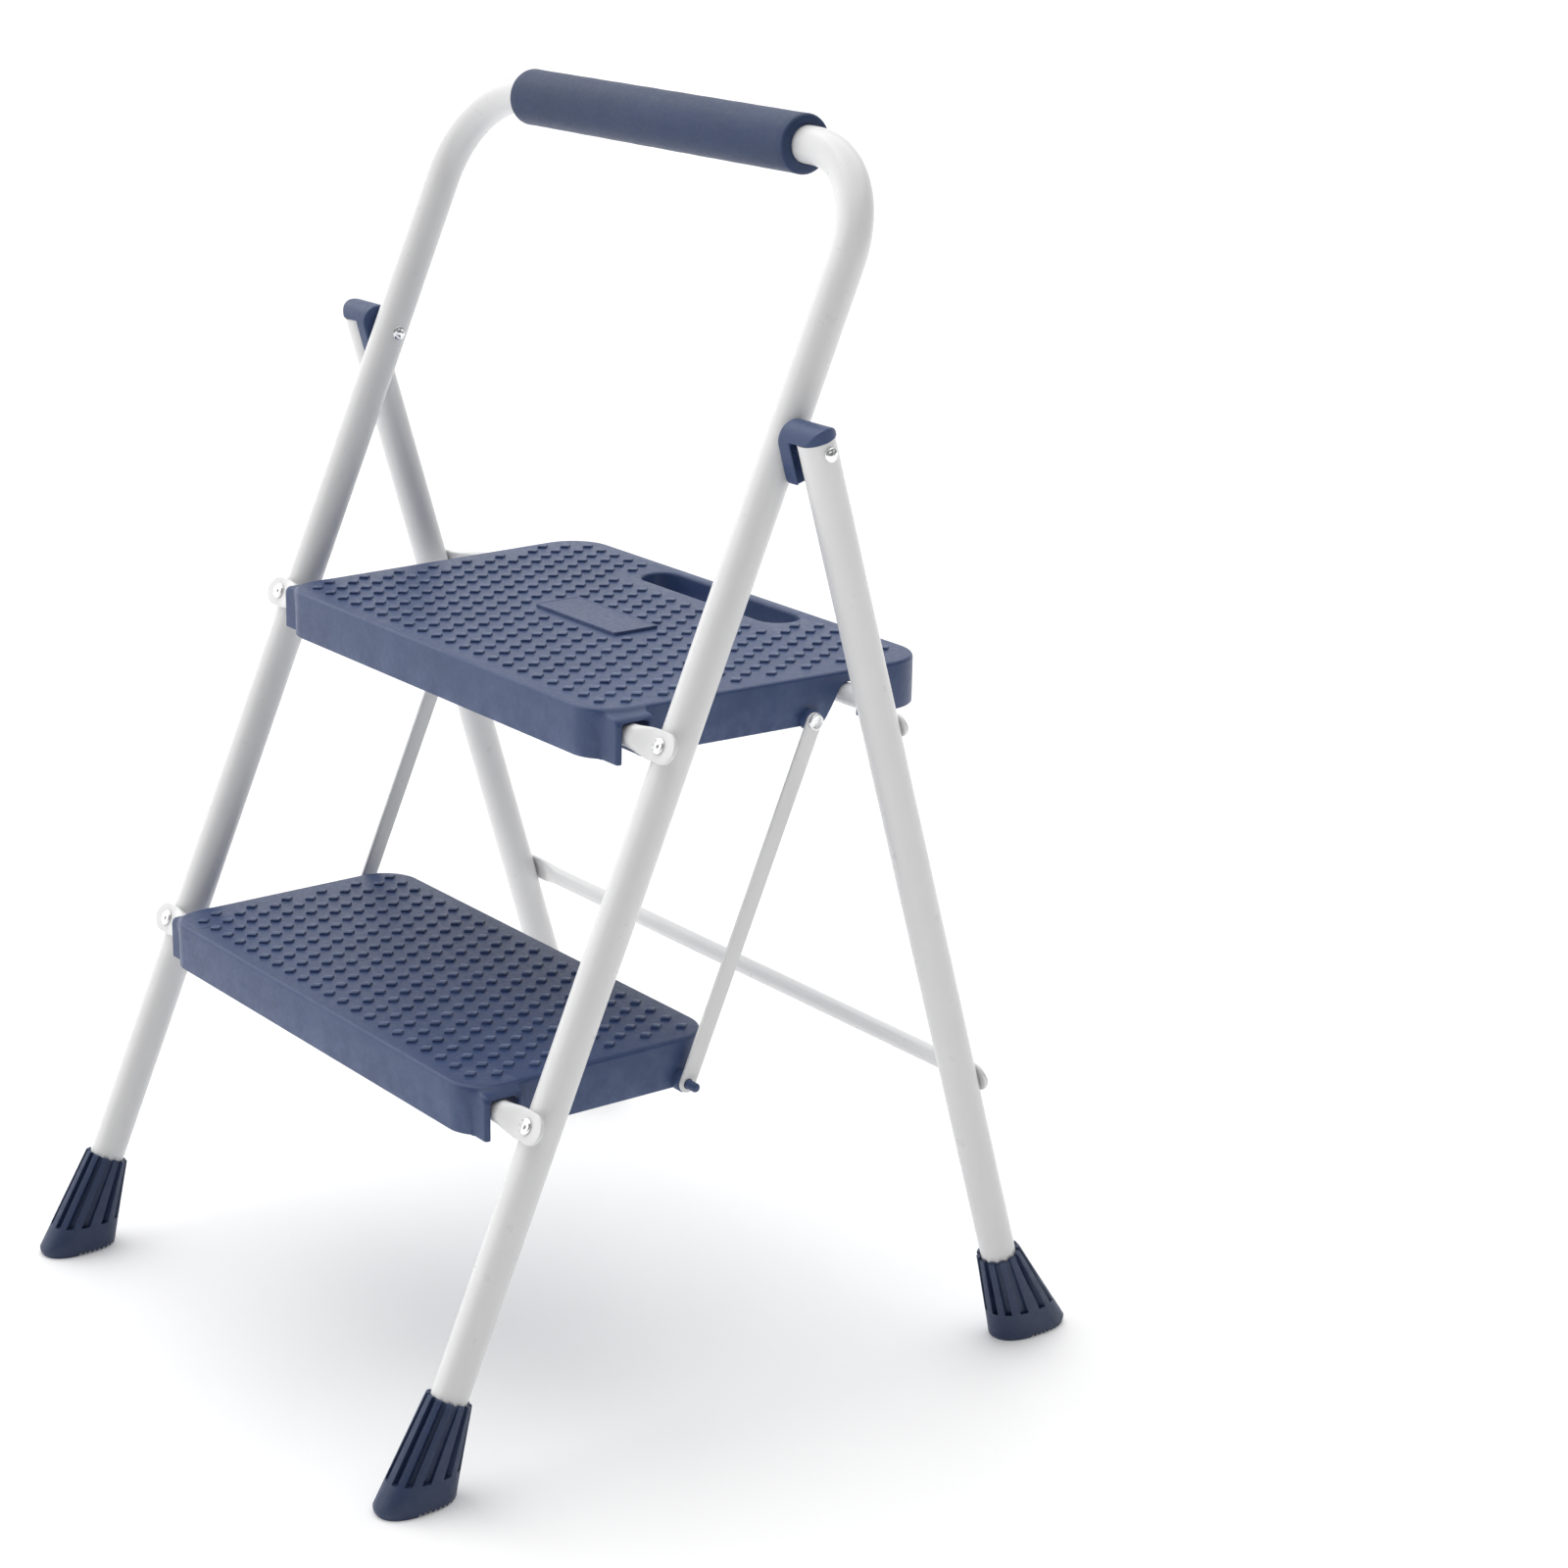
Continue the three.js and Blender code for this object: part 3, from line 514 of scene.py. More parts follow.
def cross_bar(radius, eye, end, shift):
    """A bar along X whose ends are pressed flat and lie off its axis by shift along Y."""
    flat_x = end - EYE["radius"]
    start = flat_x - EYE["taper"]
    half = [bar_section(x, radius, eye, 0, shift) for x in (0, start * 0.5, start)]
    steps = 14
    for i in range(1, steps + 1):
        half.append(bar_section(mix(start, flat_x, i / steps), radius, eye, smooth_step(i / steps), shift))
    half.append(bar_section(end, radius, eye, 1, shift))
    for degrees in (12, 24, 36, 47, 57, 66, 74, 81, 86):
        a = radians(degrees)
        half.append(bar_section(end + eye * sin(a), radius, eye, 1, shift, cos(a)))
    mirrored = [[(-x, y, z) for x, y, z in ring] for ring in reversed(half[1:])]
    return skin(mirrored + half)


# ---- fasteners ----
def dome_rivet(grip, head=RIVET["head"], domed_tail=False):
    """A domed rivet along +Z, with hammered facets round a raised middle."""
    def facets(r, angle, h):
        if h <= 0.9 and (not domed_tail or h >= -grip - 0.5):
            return 0
        depth = 0.5 if h > 0 else -0.3
        return -depth * abs(cos(2.5 * angle)) * math.exp(-((r - head * 0.55) / (head * 0.2)) ** 2)

    dome = [(0.97, 0), (1, 0.07), (1, 0.2), (0.97, 0.34), (0.88, 0.49), (0.77, 0.61), (0.66, 0.7), (0.55, 0.75),
            (0.47, 0.79), (0.4, 0.83), (0.34, 0.9), (0.26, 0.96), (0.14, 1)]
    shank, height, tail_height = RIVET["shank"], RIVET["height"], RIVET["tail"]
    top = [(r * head, h * height) for r, h in dome] + [(0.02, height)]
    tail = [(0.02, -grip - tail_height)]
    if domed_tail:
        tail += [(r * head, -grip - h * tail_height) for r, h in reversed(dome)]
    else:
        tail += [(r, -grip - h) for r, h in ((1.8, 1.55), (3, 1.3), (3.7, 0.9), (4, 0.4), (4, 0))]
    return turned(tail + [(shank, -grip), (shank, 0)] + top, 60, facets)


def flat_rivet(grip):
    """The link's rivet along +Z: a wide flat head with a rolled rim and a small middle recess."""
    shank, tail_height = RIVET["shank"], RIVET["tail"]
    profile = [(0.02, -grip - tail_height), (2.8, -grip - tail_height), (4, -grip - 0.8), (4, -grip),
               (shank, -grip), (shank, 0), (5.5, 0), (5.7, 0.3), (5.7, 1.1), (5.5, 1.5), (5.1, 1.75), (4.6, 1.8),
               (4.1, 1.65), (3.8, 1.45), (2.2, 1.4), (1.9, 1.3), (1.7, 0.9), (1.5, 0.7), (0.02, 0.65)]
    return turned(profile, 60)


def pan_screw():
    """A small pan-head screw along +Z with a cross recess."""
    def recess(r, angle, h):
        if h < 1.2 or r > 2.4:
            return 0
        near = min(abs(r * cos(angle)), abs(r * sin(angle)))
        return -0.9 * smooth_step((0.75 - near) / 0.3) * smooth_step((2.4 - r) / 0.5)

    profile = [(0.02, -9), (0.8, -9), (1.7, -7), (1.7, 0), (3.6, 0), (3.8, 0.2), (3.8, 0.6), (3.6, 1.1),
               (3.1, 1.6)]
    profile += [(2.6 - 0.2 * i, 1.8 + 0.2 * (i / 12)) for i in range(13)]
    profile.append((0.02, 2.0))
    return turned(profile, 72, recess)


FACING = {way: Matrix.Rotation(sign * pi / 2, 4, axis) for way, sign, axis in (
    ("front", 1, "X"), ("rear", -1, "X"), ("left", -1, "Y"), ("right", 1, "Y"))}


def fastened(shape, where, facing, extra=None):
    """A fastener drawn along +Z, turned to face a way and set in place."""
    return moved(shape, Matrix.Translation(where) @ (extra or Matrix()) @ FACING[facing])


# ---- grip, hinge caps and feet ----
def grip_sleeve():
    """The foam sleeve along X: eased ends and a faint swell, as foam pushed on to a tube has."""
    r, bore, half, ease = GRIP["radius"], GRIP["bore"], GRIP["half"], GRIP["rounding"]
    mouth, swell, steps = 5, 0.18, 40
    end = [(bore, -half + mouth), (bore, -half), (r - ease, -half)]
    for degrees in range(15, 91, 15):
        a = radians(degrees)
        end.append((r - ease + ease * sin(a), -half + ease - ease * cos(a)))
    profile = list(end)
    for i in range(1, steps):
        t = i / steps
        radius = r - swell + swell * sin(pi * t) * cos(9 * pi * t) ** 2
        profile.append((radius, mix(-half + ease, half - ease, t)))
    profile += [(p[0], -p[1]) for p in reversed(end)]
    return moved(turned(profile, 72), Matrix.Translation((0, 0, GRIP_ALONG)) @ FACING["right"])


def cap_field(x, y, z):
    """The cap of the right-hand rear leg, about the hinge, with its lug on the inner side (-X)."""
    radius, crown, drop, seat = 13.4, 4.1, 22.5, 8.5
    inner = FRONT_HALF + LEG_RADIUS + GAP - REAR_HALF
    outer = -LEG_RADIUS - GAP
    arch = np.where(z > crown, np.sqrt(y ** 2 + (z - crown) ** 2), abs(y)) - radius
    plan = np.where(x > 0, np.sqrt(x ** 2 + y ** 2), abs(y)) - radius
    hood = soft_common(plan, seat - z, 0.8)
    lug = soft_common(corner_2d(abs(y) - radius, -drop - z, 5), x - outer, 1.2)
    body = soft_common(soft_common(soft_union(hood, lug, 1.6), arch, 1.0), inner - x, 1.4)
    boss = np.sqrt(y ** 2 + z ** 2) - 6.2
    pocket = rounded_box(x, y, z, (outer - 4.6, -11.3, -30), (outer + 6, 11.3, 6.2), 1.2)
    return soft_common(body, -np.maximum(pocket, -boss), 0.7)


def foot_shape(lean, along, half_length, shift):
    """A boot foot: a smooth band round a treaded sole, and flutes from the band up to the rim."""
    s, c = sin(lean), cos(lean)
    rim, half_width, power, band = FOOT["rim"], FOOT["half_width"], FOOT["squareness"], FOOT["band"]
    flutes, duty, pitch = FLUTES["count"], FLUTES["duty"], TEETH["pitch"]
    serrated_from = shift - half_length * 0.28
    axis_up = Vector((0, s, c))

    def swell(v):
        return math.copysign(abs(v) ** power, v)

    def column_angles():
        """Angles round the foot: even ones, and ones at each flute's edges and each tooth's tip and root."""
        angles = set()
        for i in range(flutes):
            for edge in (-1, 1):
                at = (i + 0.5) * 2 * pi / flutes + edge * duty * pi / flutes
                angles.update((at - 0.012, at + 0.012))
        for i in range(int((shift + half_length - serrated_from) / pitch * 2)):
            unit = (serrated_from + i * pitch / 2 - shift) / half_length
            rise = math.asin(math.copysign(min(abs(unit) ** (1 / power), 1), unit))
            angles.update((rise % (2 * pi), (pi - rise) % (2 * pi)))
        angles.update(pi / 2 + i * pi / 36 for i in range(-36, 36))
        ordered = sorted(a % (2 * pi) for a in angles)
        return [a for i, a in enumerate(ordered) if i == 0 or a - ordered[i - 1] > 0.006]

    def tooth(y):
        if y < serrated_from:
            return 0.0
        return TEETH["height"] * (1 - abs(2 * (((y - serrated_from) / pitch) % 1) - 1))

    def outer(a, t):
        """On the outside at a share t of the way from the top of the sole's edge to the rim."""
        u, v = cos(a), sin(a)
        low = Vector((swell(u) * half_width, shift + swell(v) * half_length, FOOT["sole"]))
        high = Vector((u * rim, along * s + v * rim * c, along * c - v * rim * s))
        return low.lerp(high, t)

    def in_flute(a):
        return abs((a * flutes / (2 * pi)) % 1 - 0.5) < duty / 2

    def fluted(a, t):
        """As outer, but sunk towards the leg's axis in a flute."""
        p = outer(a, t)
        if not in_flute(a):
            return p
        inward = Vector((0, p.z * math.tan(lean), p.z)) - p
        reach = min(inward.length - FLUTES["core"], 4.2)
        return p + inward.normalized() * max(reach, 0.8)

    def level(a, height):
        low, high = outer(a, 0), outer(a, 1)
        return (height - low.z) / (high.z - low.z)

    columns = column_angles()
    rings = []
    for share, pull in ((0.0, 1.6), (0.25, 0.8), (0.55, 0.25), (1.0, 0.0)):
        ring = []
        for a in columns:
            p = outer(a, 0)
            pulled = Vector((p.x, p.y - shift, 0))
            pulled *= 1 - pull / pulled.length
            ring.append((pulled.x, pulled.y + shift, mix(tooth(p.y), FOOT["sole"], share)))
        rings.append(ring)
    for height in (band * 0.55, band - 0.5, band):
        rings.append([outer(a, level(a, height)) for a in columns])
    rings.append([fluted(a, level(a, band + 0.25)) for a in columns])
    for t in (0.55, 0.7, 0.85, 0.96):
        rings.append([fluted(a, t) for a in columns])
    for rise, draw in ((-0.4, 0.0), (0.0, 0.5)):
        ring = []
        for a in columns:
            p = fluted(a, 1.0)
            p = p + (axis_up * along - p).normalized() * draw
            ring.append(p + axis_up * ((rise - FLUTES["drop"]) if in_flute(a) else rise))
        rings.append(ring)
    for depth, radius in ((0.0, 13.4), (-0.3, FOOT["bore"]), (-12, FOOT["bore"])):
        ring = []
        for a in columns:
            centre = axis_up * (along + depth - (FLUTES["drop"] if in_flute(a) and depth > -5 else 0))
            ring.append(centre + Vector((cos(a) * radius, sin(a) * radius * c, -sin(a) * radius * s)))
        rings.append(ring)
    points, faces = skin(rings, caps=(False, True))
    return points, faces + sole_faces(points, len(columns))


def sole_faces(points, count):
    """Faces straight across the first ring, from side to side, so that its teeth run across the sole."""
    front = min(range(count), key=lambda j: points[j][1])
    loop = [(front + j) % count for j in range(count)]
    faces = []
    for j in range(count // 2):
        quad = []
        for k in (loop[j], loop[j + 1], loop[-j - 1], loop[-j]):
            if k not in quad:
                quad.append(k)
        if len(quad) > 2:
            faces.append(tuple(quad))
    return faces


# ---- treads ----
ROUND = 0.5523  # how far a curve's handles reach towards a corner for a round arc
SIDE_BAND = 12  # the side skirts are the part of the outline this close to, or beyond, the front's half width


def half_width_at(plan, y):
    return mix(plan["half_front"], plan["half_rear"], (y - plan["front"]) / (plan["rear"] - plan["front"]))


def outline_of(plan, side_marks):
    """The tread's outline from the middle of its front edge, as (point, outward normal) pairs."""
    front_r, rear_r = plan["corners"]
    corners = [(plan["half_front"], plan["front"], front_r), (plan["half_rear"], plan["rear"], rear_r),
               (-plan["half_rear"], plan["rear"], rear_r), (-plan["half_front"], plan["front"], front_r)]
    result = []
    steps = 14
    for i, (x, y, radius) in enumerate(corners):
        here = Vector((x, y))
        before, after = (Vector(corners[(i + d) % 4][:2]) for d in (-1, 1))
        start = here + (before - here).normalized() * radius
        end = here + (after - here).normalized() * radius
        c1, c2 = here.lerp(start, 1 - ROUND), here.lerp(end, 1 - ROUND)
        for n in range(steps + 1):
            t = n / steps
            p = start * (1 - t) ** 3 + c1 * 3 * t * (1 - t) ** 2 + c2 * 3 * t * t * (1 - t) + end * t ** 3
            d = (c1 - start) * (1 - t) ** 2 + (c2 - c1) * 2 * t * (1 - t) + (end - c2) * t * t
            d.normalize()
            result.append((p, Vector((d.y, -d.x))))
    refined = []
    for i, (p, n) in enumerate(result):
        refined.append((p, n))
        q, m = result[(i + 1) % len(result)]
        cuts = [(mark - p.y) / (q.y - p.y) for mark in side_marks if min(p.y, q.y) < mark < max(p.y, q.y)]
        for t in sorted(cuts):
            if abs(p.x) > plan["half_front"] - SIDE_BAND and 1e-6 < t < 1 - 1e-6:
                refined.append((p.lerp(q, t), n.lerp(m, t).normalized()))
    return refined


def rear_notch_top(y):
    """How high the rear notch reaches at a distance behind the pivot, or None outside it."""
    cy, cz, r = REAR_NOTCH["y"], REAR_NOTCH["z"], REAR_NOTCH["radius"]
    leaves, (pull_y, pull_z) = radians(REAR_NOTCH["leaves_at"]), REAR_NOTCH["pull"]
    end_y, end_z = cy + r * cos(leaves), cz + r * sin(leaves)
    if not REAR_NOTCH["foot_front"] <= y <= REAR_NOTCH["foot_rear"]:
        return None
    if y >= cy + r - 1e-6:
        return cz
    if y >= end_y:
        return cz + sqrt(max(r * r - (y - cy) ** 2, 0))
    low, high = 0.0, 1.0
    for _ in range(30):
        t = (low + high) / 2
        at = end_y * (1 - t) ** 2 + (cy - pull_y) * 2 * t * (1 - t) + REAR_NOTCH["foot_front"] * t * t
        low, high = (t, high) if at > y else (low, t)
    return end_z * (1 - t) ** 2 + (cz - pull_z) * 2 * t * (1 - t) + (SKIRT_BOTTOM - 0.5) * t * t


def fill(loops, z):
    """A flat face at a height, inside the first loop and outside the others."""
    flat = [[Vector((p[0], p[1], 0)) for p in loop] for loop in loops]
    return [(p.x, p.y, z) for loop in flat for p in loop], [tuple(t) for t in tessellate_polygon(flat)]


def slot_loop(offset):
    """The hand slot's outline, grown by an offset."""
    r, straight = SLOT["half_width"] + offset, SLOT["half_length"] - SLOT["half_width"]
    right = arc((straight, SLOT["centre"]), r, -90, 90, 20)
    left = arc((-straight, SLOT["centre"]), r, 90, 270, 20)
    return right + left


def tread_shape(plan, is_top):
    """A tread's shell: a column for each point of its outline, then its top, ceiling and hand slot."""
    foot_front, foot_rear = REAR_NOTCH["foot_front"], REAR_NOTCH["foot_rear"]
    margin = 0.7  # the skirt is cut this far outside the notch, under its hood
    notch_from, notch_to = NOTCH["from"] - margin, NOTCH["to"] + margin
    marks = [notch_from, notch_to]
    if is_top:
        marks += [mix(foot_front, foot_rear - 0.6, i / 22) for i in range(23)] + [foot_rear]
    outline = outline_of(plan, marks)

    def skirt_bottom(y, mid):
        if notch_from < mid.y < notch_to and abs(mid.x) > plan["half_front"] - SIDE_BAND:
            return NOTCH["top"] + margin
        if is_top and abs(mid.x) > plan["half_front"] and foot_front < mid.y < foot_rear:
            return max(rear_notch_top(min(max(y, foot_front), foot_rear)), SKIRT_BOTTOM)
        return SKIRT_BOTTOM

    columns = []
    for i, (p, n) in enumerate(outline):
        neighbours = outline[i - 1][0], outline[(i + 1) % len(outline)][0]
        bottoms = [skirt_bottom(p.y, (p + q) / 2) for q in neighbours]
        if abs(bottoms[0] - bottoms[1]) < 0.05:
            bottoms = bottoms[:1]
        columns += [(p, n, b) for b in bottoms]
    ease, foot_ease, ceiling = 2.8, 0.6, TREAD_TOP - WALL
    profile = [
        (-WALL, lambda b: ceiling),
        (-WALL, lambda b: min(b + foot_ease, ceiling)),
        (-WALL + foot_ease, lambda b: b),
        (-foot_ease, lambda b: b),
        (0, lambda b: b + foot_ease),
        (0, lambda b: TREAD_TOP - ease),
    ]
    for degrees in (15, 30, 45, 60, 75, 90):
        a = radians(degrees)
        profile.append((-ease + ease * cos(a), lambda b, a=a: TREAD_TOP - ease + ease * sin(a)))
    rings = []
    for offset, height in profile:
        rings.append([((p + n * offset).x, (p + n * offset).y, height(b)) for p, n, b in columns])
    parts = [skin(rings, caps=(False, False))]
    top_loops, ceiling_loops = ([[p + n * -inset for p, n in outline]] for inset in (ease, WALL))
    if is_top:
        lip, collar, foot = SLOT["lip"], SLOT["collar"], SKIRT_BOTTOM + 3
        levels = [(lip, TREAD_TOP)]
        for degrees in (18, 36, 54, 72, 90):
            a = radians(degrees)
            levels.append((lip - lip * sin(a), TREAD_TOP - lip + lip * cos(a)))
        levels += [(0, foot + 0.8), (0.8, foot), (collar - 0.8, foot), (collar, foot + 0.8), (collar, ceiling)]
        wall = [[(x, y, z) for x, y in slot_loop(offset)] for offset, z in levels]
        parts.append(skin(wall, caps=(False, False)))
        top_loops.append(slot_loop(lip))
        ceiling_loops.append(slot_loop(collar))
    return merge(*parts, fill(top_loops, TREAD_TOP), fill(ceiling_loops, ceiling))


def underside(plan):
    """Low ribs under a tread, and the saddles that sit on its pivot tube."""
    parts = []
    sunk = 0.5  # how far ribs reach into the walls they meet
    roof = TREAD_TOP - WALL + sunk
    front = plan["front"] + WALL - sunk
    radius = STEP_TUBE["radius"] + 0.6
    lowest, back = SADDLE["lowest"], SADDLE["rear"]
    saddle = [(front, lowest), (-radius, lowest)] + [(-y, z) for y, z in arc((0, 0), radius, 0, 180, 20)]
    saddle += [(radius, lowest), (back, lowest), (back, roof), (front, roof)]
    for y in RIB["across"]:
        reach = half_width_at(plan, y) - WALL + sunk
        parts.append(box((-reach, y - RIB["half"], RIB["lowest"]), (reach, y + RIB["half"], roof)))
    for x in RIB["along"]:
        rear = plan["rear"] - WALL + sunk
        if plan is TOP_PLAN and abs(x) < SLOT["half_length"] + 5:
            rear = SLOT["centre"] - SLOT["half_width"] - SLOT["collar"] + sunk
        parts.append(box((x - RIB["half"], back, RIB["lowest"]), (x + RIB["half"], rear, roof)))
        parts.append(flat_prism(saddle, x - SADDLE["half"], x + SADDLE["half"]))
    return merge(*parts)


def flat_prism(outline, low, high):
    """A YZ outline that may be hollow on one side, extruded along X."""
    count = len(outline)
    points = [(low, *p) for p in outline] + [(high, *p) for p in outline]
    triangles = tessellate_polygon([[Vector((*p, 0)) for p in outline]])
    faces = [tuple(t) for t in triangles] + [tuple(count + i for i in reversed(t)) for t in triangles]
    faces += [(i, (i + 1) % count, count + (i + 1) % count, count + i) for i in range(count)]
    return points, faces


def edge_distance(plan, x, y):
    """How far a spot is from the tread's outline: negative inside."""
    radius_front, radius_rear = plan["corners"]
    side = abs(x) - half_width_at(plan, y)
    front = corner_2d(side, plan["front"] - y, radius_front)
    rear = corner_2d(side, y - plan["rear"], radius_rear)
    return np.maximum(front, rear)


def stud_at(x, y):
    rings = []
    for inset, level in ((0, -0.3), (0.05, 0.1), (0.25, 1.2), (0.4, 1.5), (0.75, 1.65)):
        ring = []
        for quarter, reach in enumerate((STUD["half_across"], STUD["half_long"]) * 2):
            a = pi / 2 * quarter
            for nudge in (-0.4, 0.4):
                out = reach - inset - abs(nudge)
                ring.append((x + out * cos(a) - nudge * sin(a), y + out * sin(a) + nudge * cos(a),
                             TREAD_TOP + level))
        rings.append(ring)
    return skin(rings, caps=(False, True))


def studs(plan, is_top):
    """Small raised diamonds in staggered rows, clear of the edge, the hand slot and the plate."""
    pitch, row_pitch, inside = STUD["pitch"], STUD["row_pitch"], STUD["inside"]
    span = plan["rear"] - plan["front"] - 2 * inside
    rows = int(span / row_pitch) + 1
    slack = span - (rows - 1) * row_pitch
    clear = [(SLOT["centre"], SLOT["half_width"] + 7, SLOT["half_length"] + 8),
             (PLATE["centre"], PLATE["depth"] / 2 + 5.5, PLATE["width"] / 2 + 5.5)] if is_top else []
    parts = []
    for row in range(rows):
        y = plan["front"] + inside + slack / 2 + row * row_pitch
        for i in range(-13, 14):
            x = (i + (0.5 if row % 2 else 0)) * pitch
            if edge_distance(plan, x, y) > -inside + 3:
                continue
            if not any(abs(y - centre) < deep and abs(x) < wide for centre, deep, wide in clear):
                parts.append(stud_at(x, y))
    return merge(*parts)


def hood_field(plan):
    """The raised surround of the front notch on the right-hand side, flowing out of the front skirt."""
    def field(x, y, z):
        side = x - half_width_at(plan, y)
        edge = corner_2d(side, plan["front"] - y, plan["corners"][0])
        block = np.maximum(corner_2d(edge, z - TREAD_TOP, 2.8), SKIRT_BOTTOM - z)
        shell = np.maximum(block, -np.maximum(edge + WALL, z - TREAD_TOP + WALL)) + 0.15
        border = NOTCH["border"]
        brow = corner_2d(x - NOTCH["lip"] - 0.4, z - NOTCH["top"] - border + 0.4, 6)
        surround = corner_2d(corner_2d(brow, NOTCH["from"] - border - y, 3), y - NOTCH["to"] - border, 2)
        surround = np.maximum(surround, SKIRT_BOTTOM - z)
        whole = soft_union(shell, surround, 1.5 + 4 * np.clip((z + 6) / 14, 0, 1))
        opening = rounded_box(x, y, z, (150, NOTCH["from"], -60), (240, NOTCH["to"], NOTCH["top"]), 2.6)
        return soft_common(whole, -opening, 0.9)

    return field


def at_link_pivot(profile, sides, side):
    """A shape turned about the link's pivot on one side, its heights measured from the stool's middle."""
    turn = FACING["right" if side > 0 else "left"]
    return moved(turned(profile, sides), Matrix.Translation((0, *LINK_PIVOT)) @ turn)


def link_boss(plan, side):
    root, top = half_width_at(plan, LINK_PIVOT[0]) - 1, LINK_BAR["inner"] - GAP
    return at_link_pivot([(7, root), (7, top - 0.9), (6.7, top - 0.3), (6.1, top), (0.02, top)], 48, side)


def tread_pin(side):
    r, end = TREAD_PIN["radius"], TREAD_PIN["end"]
    profile = [(r, TREAD_PIN["root"]), (r, end - 1.8), (3.0, end - 1.0), (2.5, end - 0.4), (1.6, end - 0.05)]
    return at_link_pivot(profile + [(0.02, end)], 40, side)


def blank_plate():
    """A blank raised plate with a fine rim."""
    half_x, half_y, top = PLATE["width"] / 2, PLATE["depth"] / 2, PLATE["proud"]
    levels = [(0, -0.9), (0, top - 0.6), (0.15, top - 0.25), (0.5, top), (1.4, top), (1.7, top - 0.25),
              (2.4, top - 0.3)]
    rings = []
    for inset, level in levels:
        radius = 2.2 - min(inset, 1.6)
        ring = []
        for sx, sy, start in ((1, -1, -90), (1, 1, 0), (-1, 1, 90), (-1, -1, 180)):
            centre = (sx * (half_x - inset - radius), PLATE["centre"] + sy * (half_y - inset - radius))
            ring += [(*p, TREAD_TOP + level) for p in arc(centre, radius, start, start + 90, 6)]
        rings.append(ring)
    return skin(rings)


def link_shape(side):
    """A flat link bar with eased edges and two holes, drawn down from its upper pivot."""
    half, thick, ease = LINK_BAR["half"], LINK_BAR["thickness"], 0.6

    def loop(inset):
        r = half - inset
        return arc((0, 0), r, 0, 180, 20) + arc((0, -STEP_SPACING), r, 180, 360, 20)

    def at(level, points):
        return [(side * (LINK_BAR["inner"] + level), *p) for p in points]

    holes = [arc(c, r, 0, 360, 24)[:-1] for c, r in (((0, 0), 2.8), ((0, -STEP_SPACING), 3.7))]
    levels = [(ease, 0), (ease * 0.3, ease * 0.3), (0, ease), (0, thick - ease), (ease * 0.3, thick - ease * 0.3),
              (ease, thick)]
    parts = [skin([at(level, loop(inset)) for inset, level in levels], caps=(False, False))]
    loops = [loop(ease), *holes]
    triangles = [tuple(t) for t in tessellate_polygon([[Vector((*p, 0)) for p in one] for one in loops])]
    for level in (0, thick):
        parts.append(([p for one in loops for p in at(level, one)], triangles))
    for hole in holes:
        parts.append(skin([at(level, hole) for level in (0, thick)], caps=(False, False)))
    return merge(*parts)


def mirrored(surface, side, shift=0.0):
    """A right-hand surface moved out by shift, or its mirror image for the left: (shape, normals)."""
    points, faces, normals = surface
    shown = faces if side > 0 else [tuple(reversed(face)) for face in faces]
    return ([(side * (x + shift), y, z) for x, y, z in points], shown), [(side * x, y, z) for x, y, z in normals]


# ---- assembly ----
def build_front_frame():
    body = "front_frame"
    add_piece("bent_frame_tube", frame_tube(), FRONT, body, "white_paint", ["front_frame_tube"])
    grip = add_piece("foam_grip", grip_sleeve(), FRONT, body, "foam", ["handle_grip"])
    for level in ("top", "bottom"):
        along = along_leg(-FRONT_LEAN, f"{level}_step_tube").z
        tube = cross_bar(STEP_TUBE["radius"], STEP_TUBE["eye"], STEP_TUBE["end"], 0)
        tube = moved(tube, Matrix.Translation((0, -EYE["out"], along)))
        add_piece(f"{level}_pivot_tube", tube, FRONT, body, "white_paint", [f"{level}_step_tube"])
        for name, side in SIDES.items():
            where = (side * STEP_TUBE["rivet"], -EYE["out"] - EYE["half"] - GAP, along)
            rivet = fastened(dome_rivet(RIVET["grip"]), where, "front")
            add_piece(f"{level}_tube_rivet_{name}", rivet, FRONT, body, "bright_metal",
                      [f"{level}_step_rivet_{name}"])


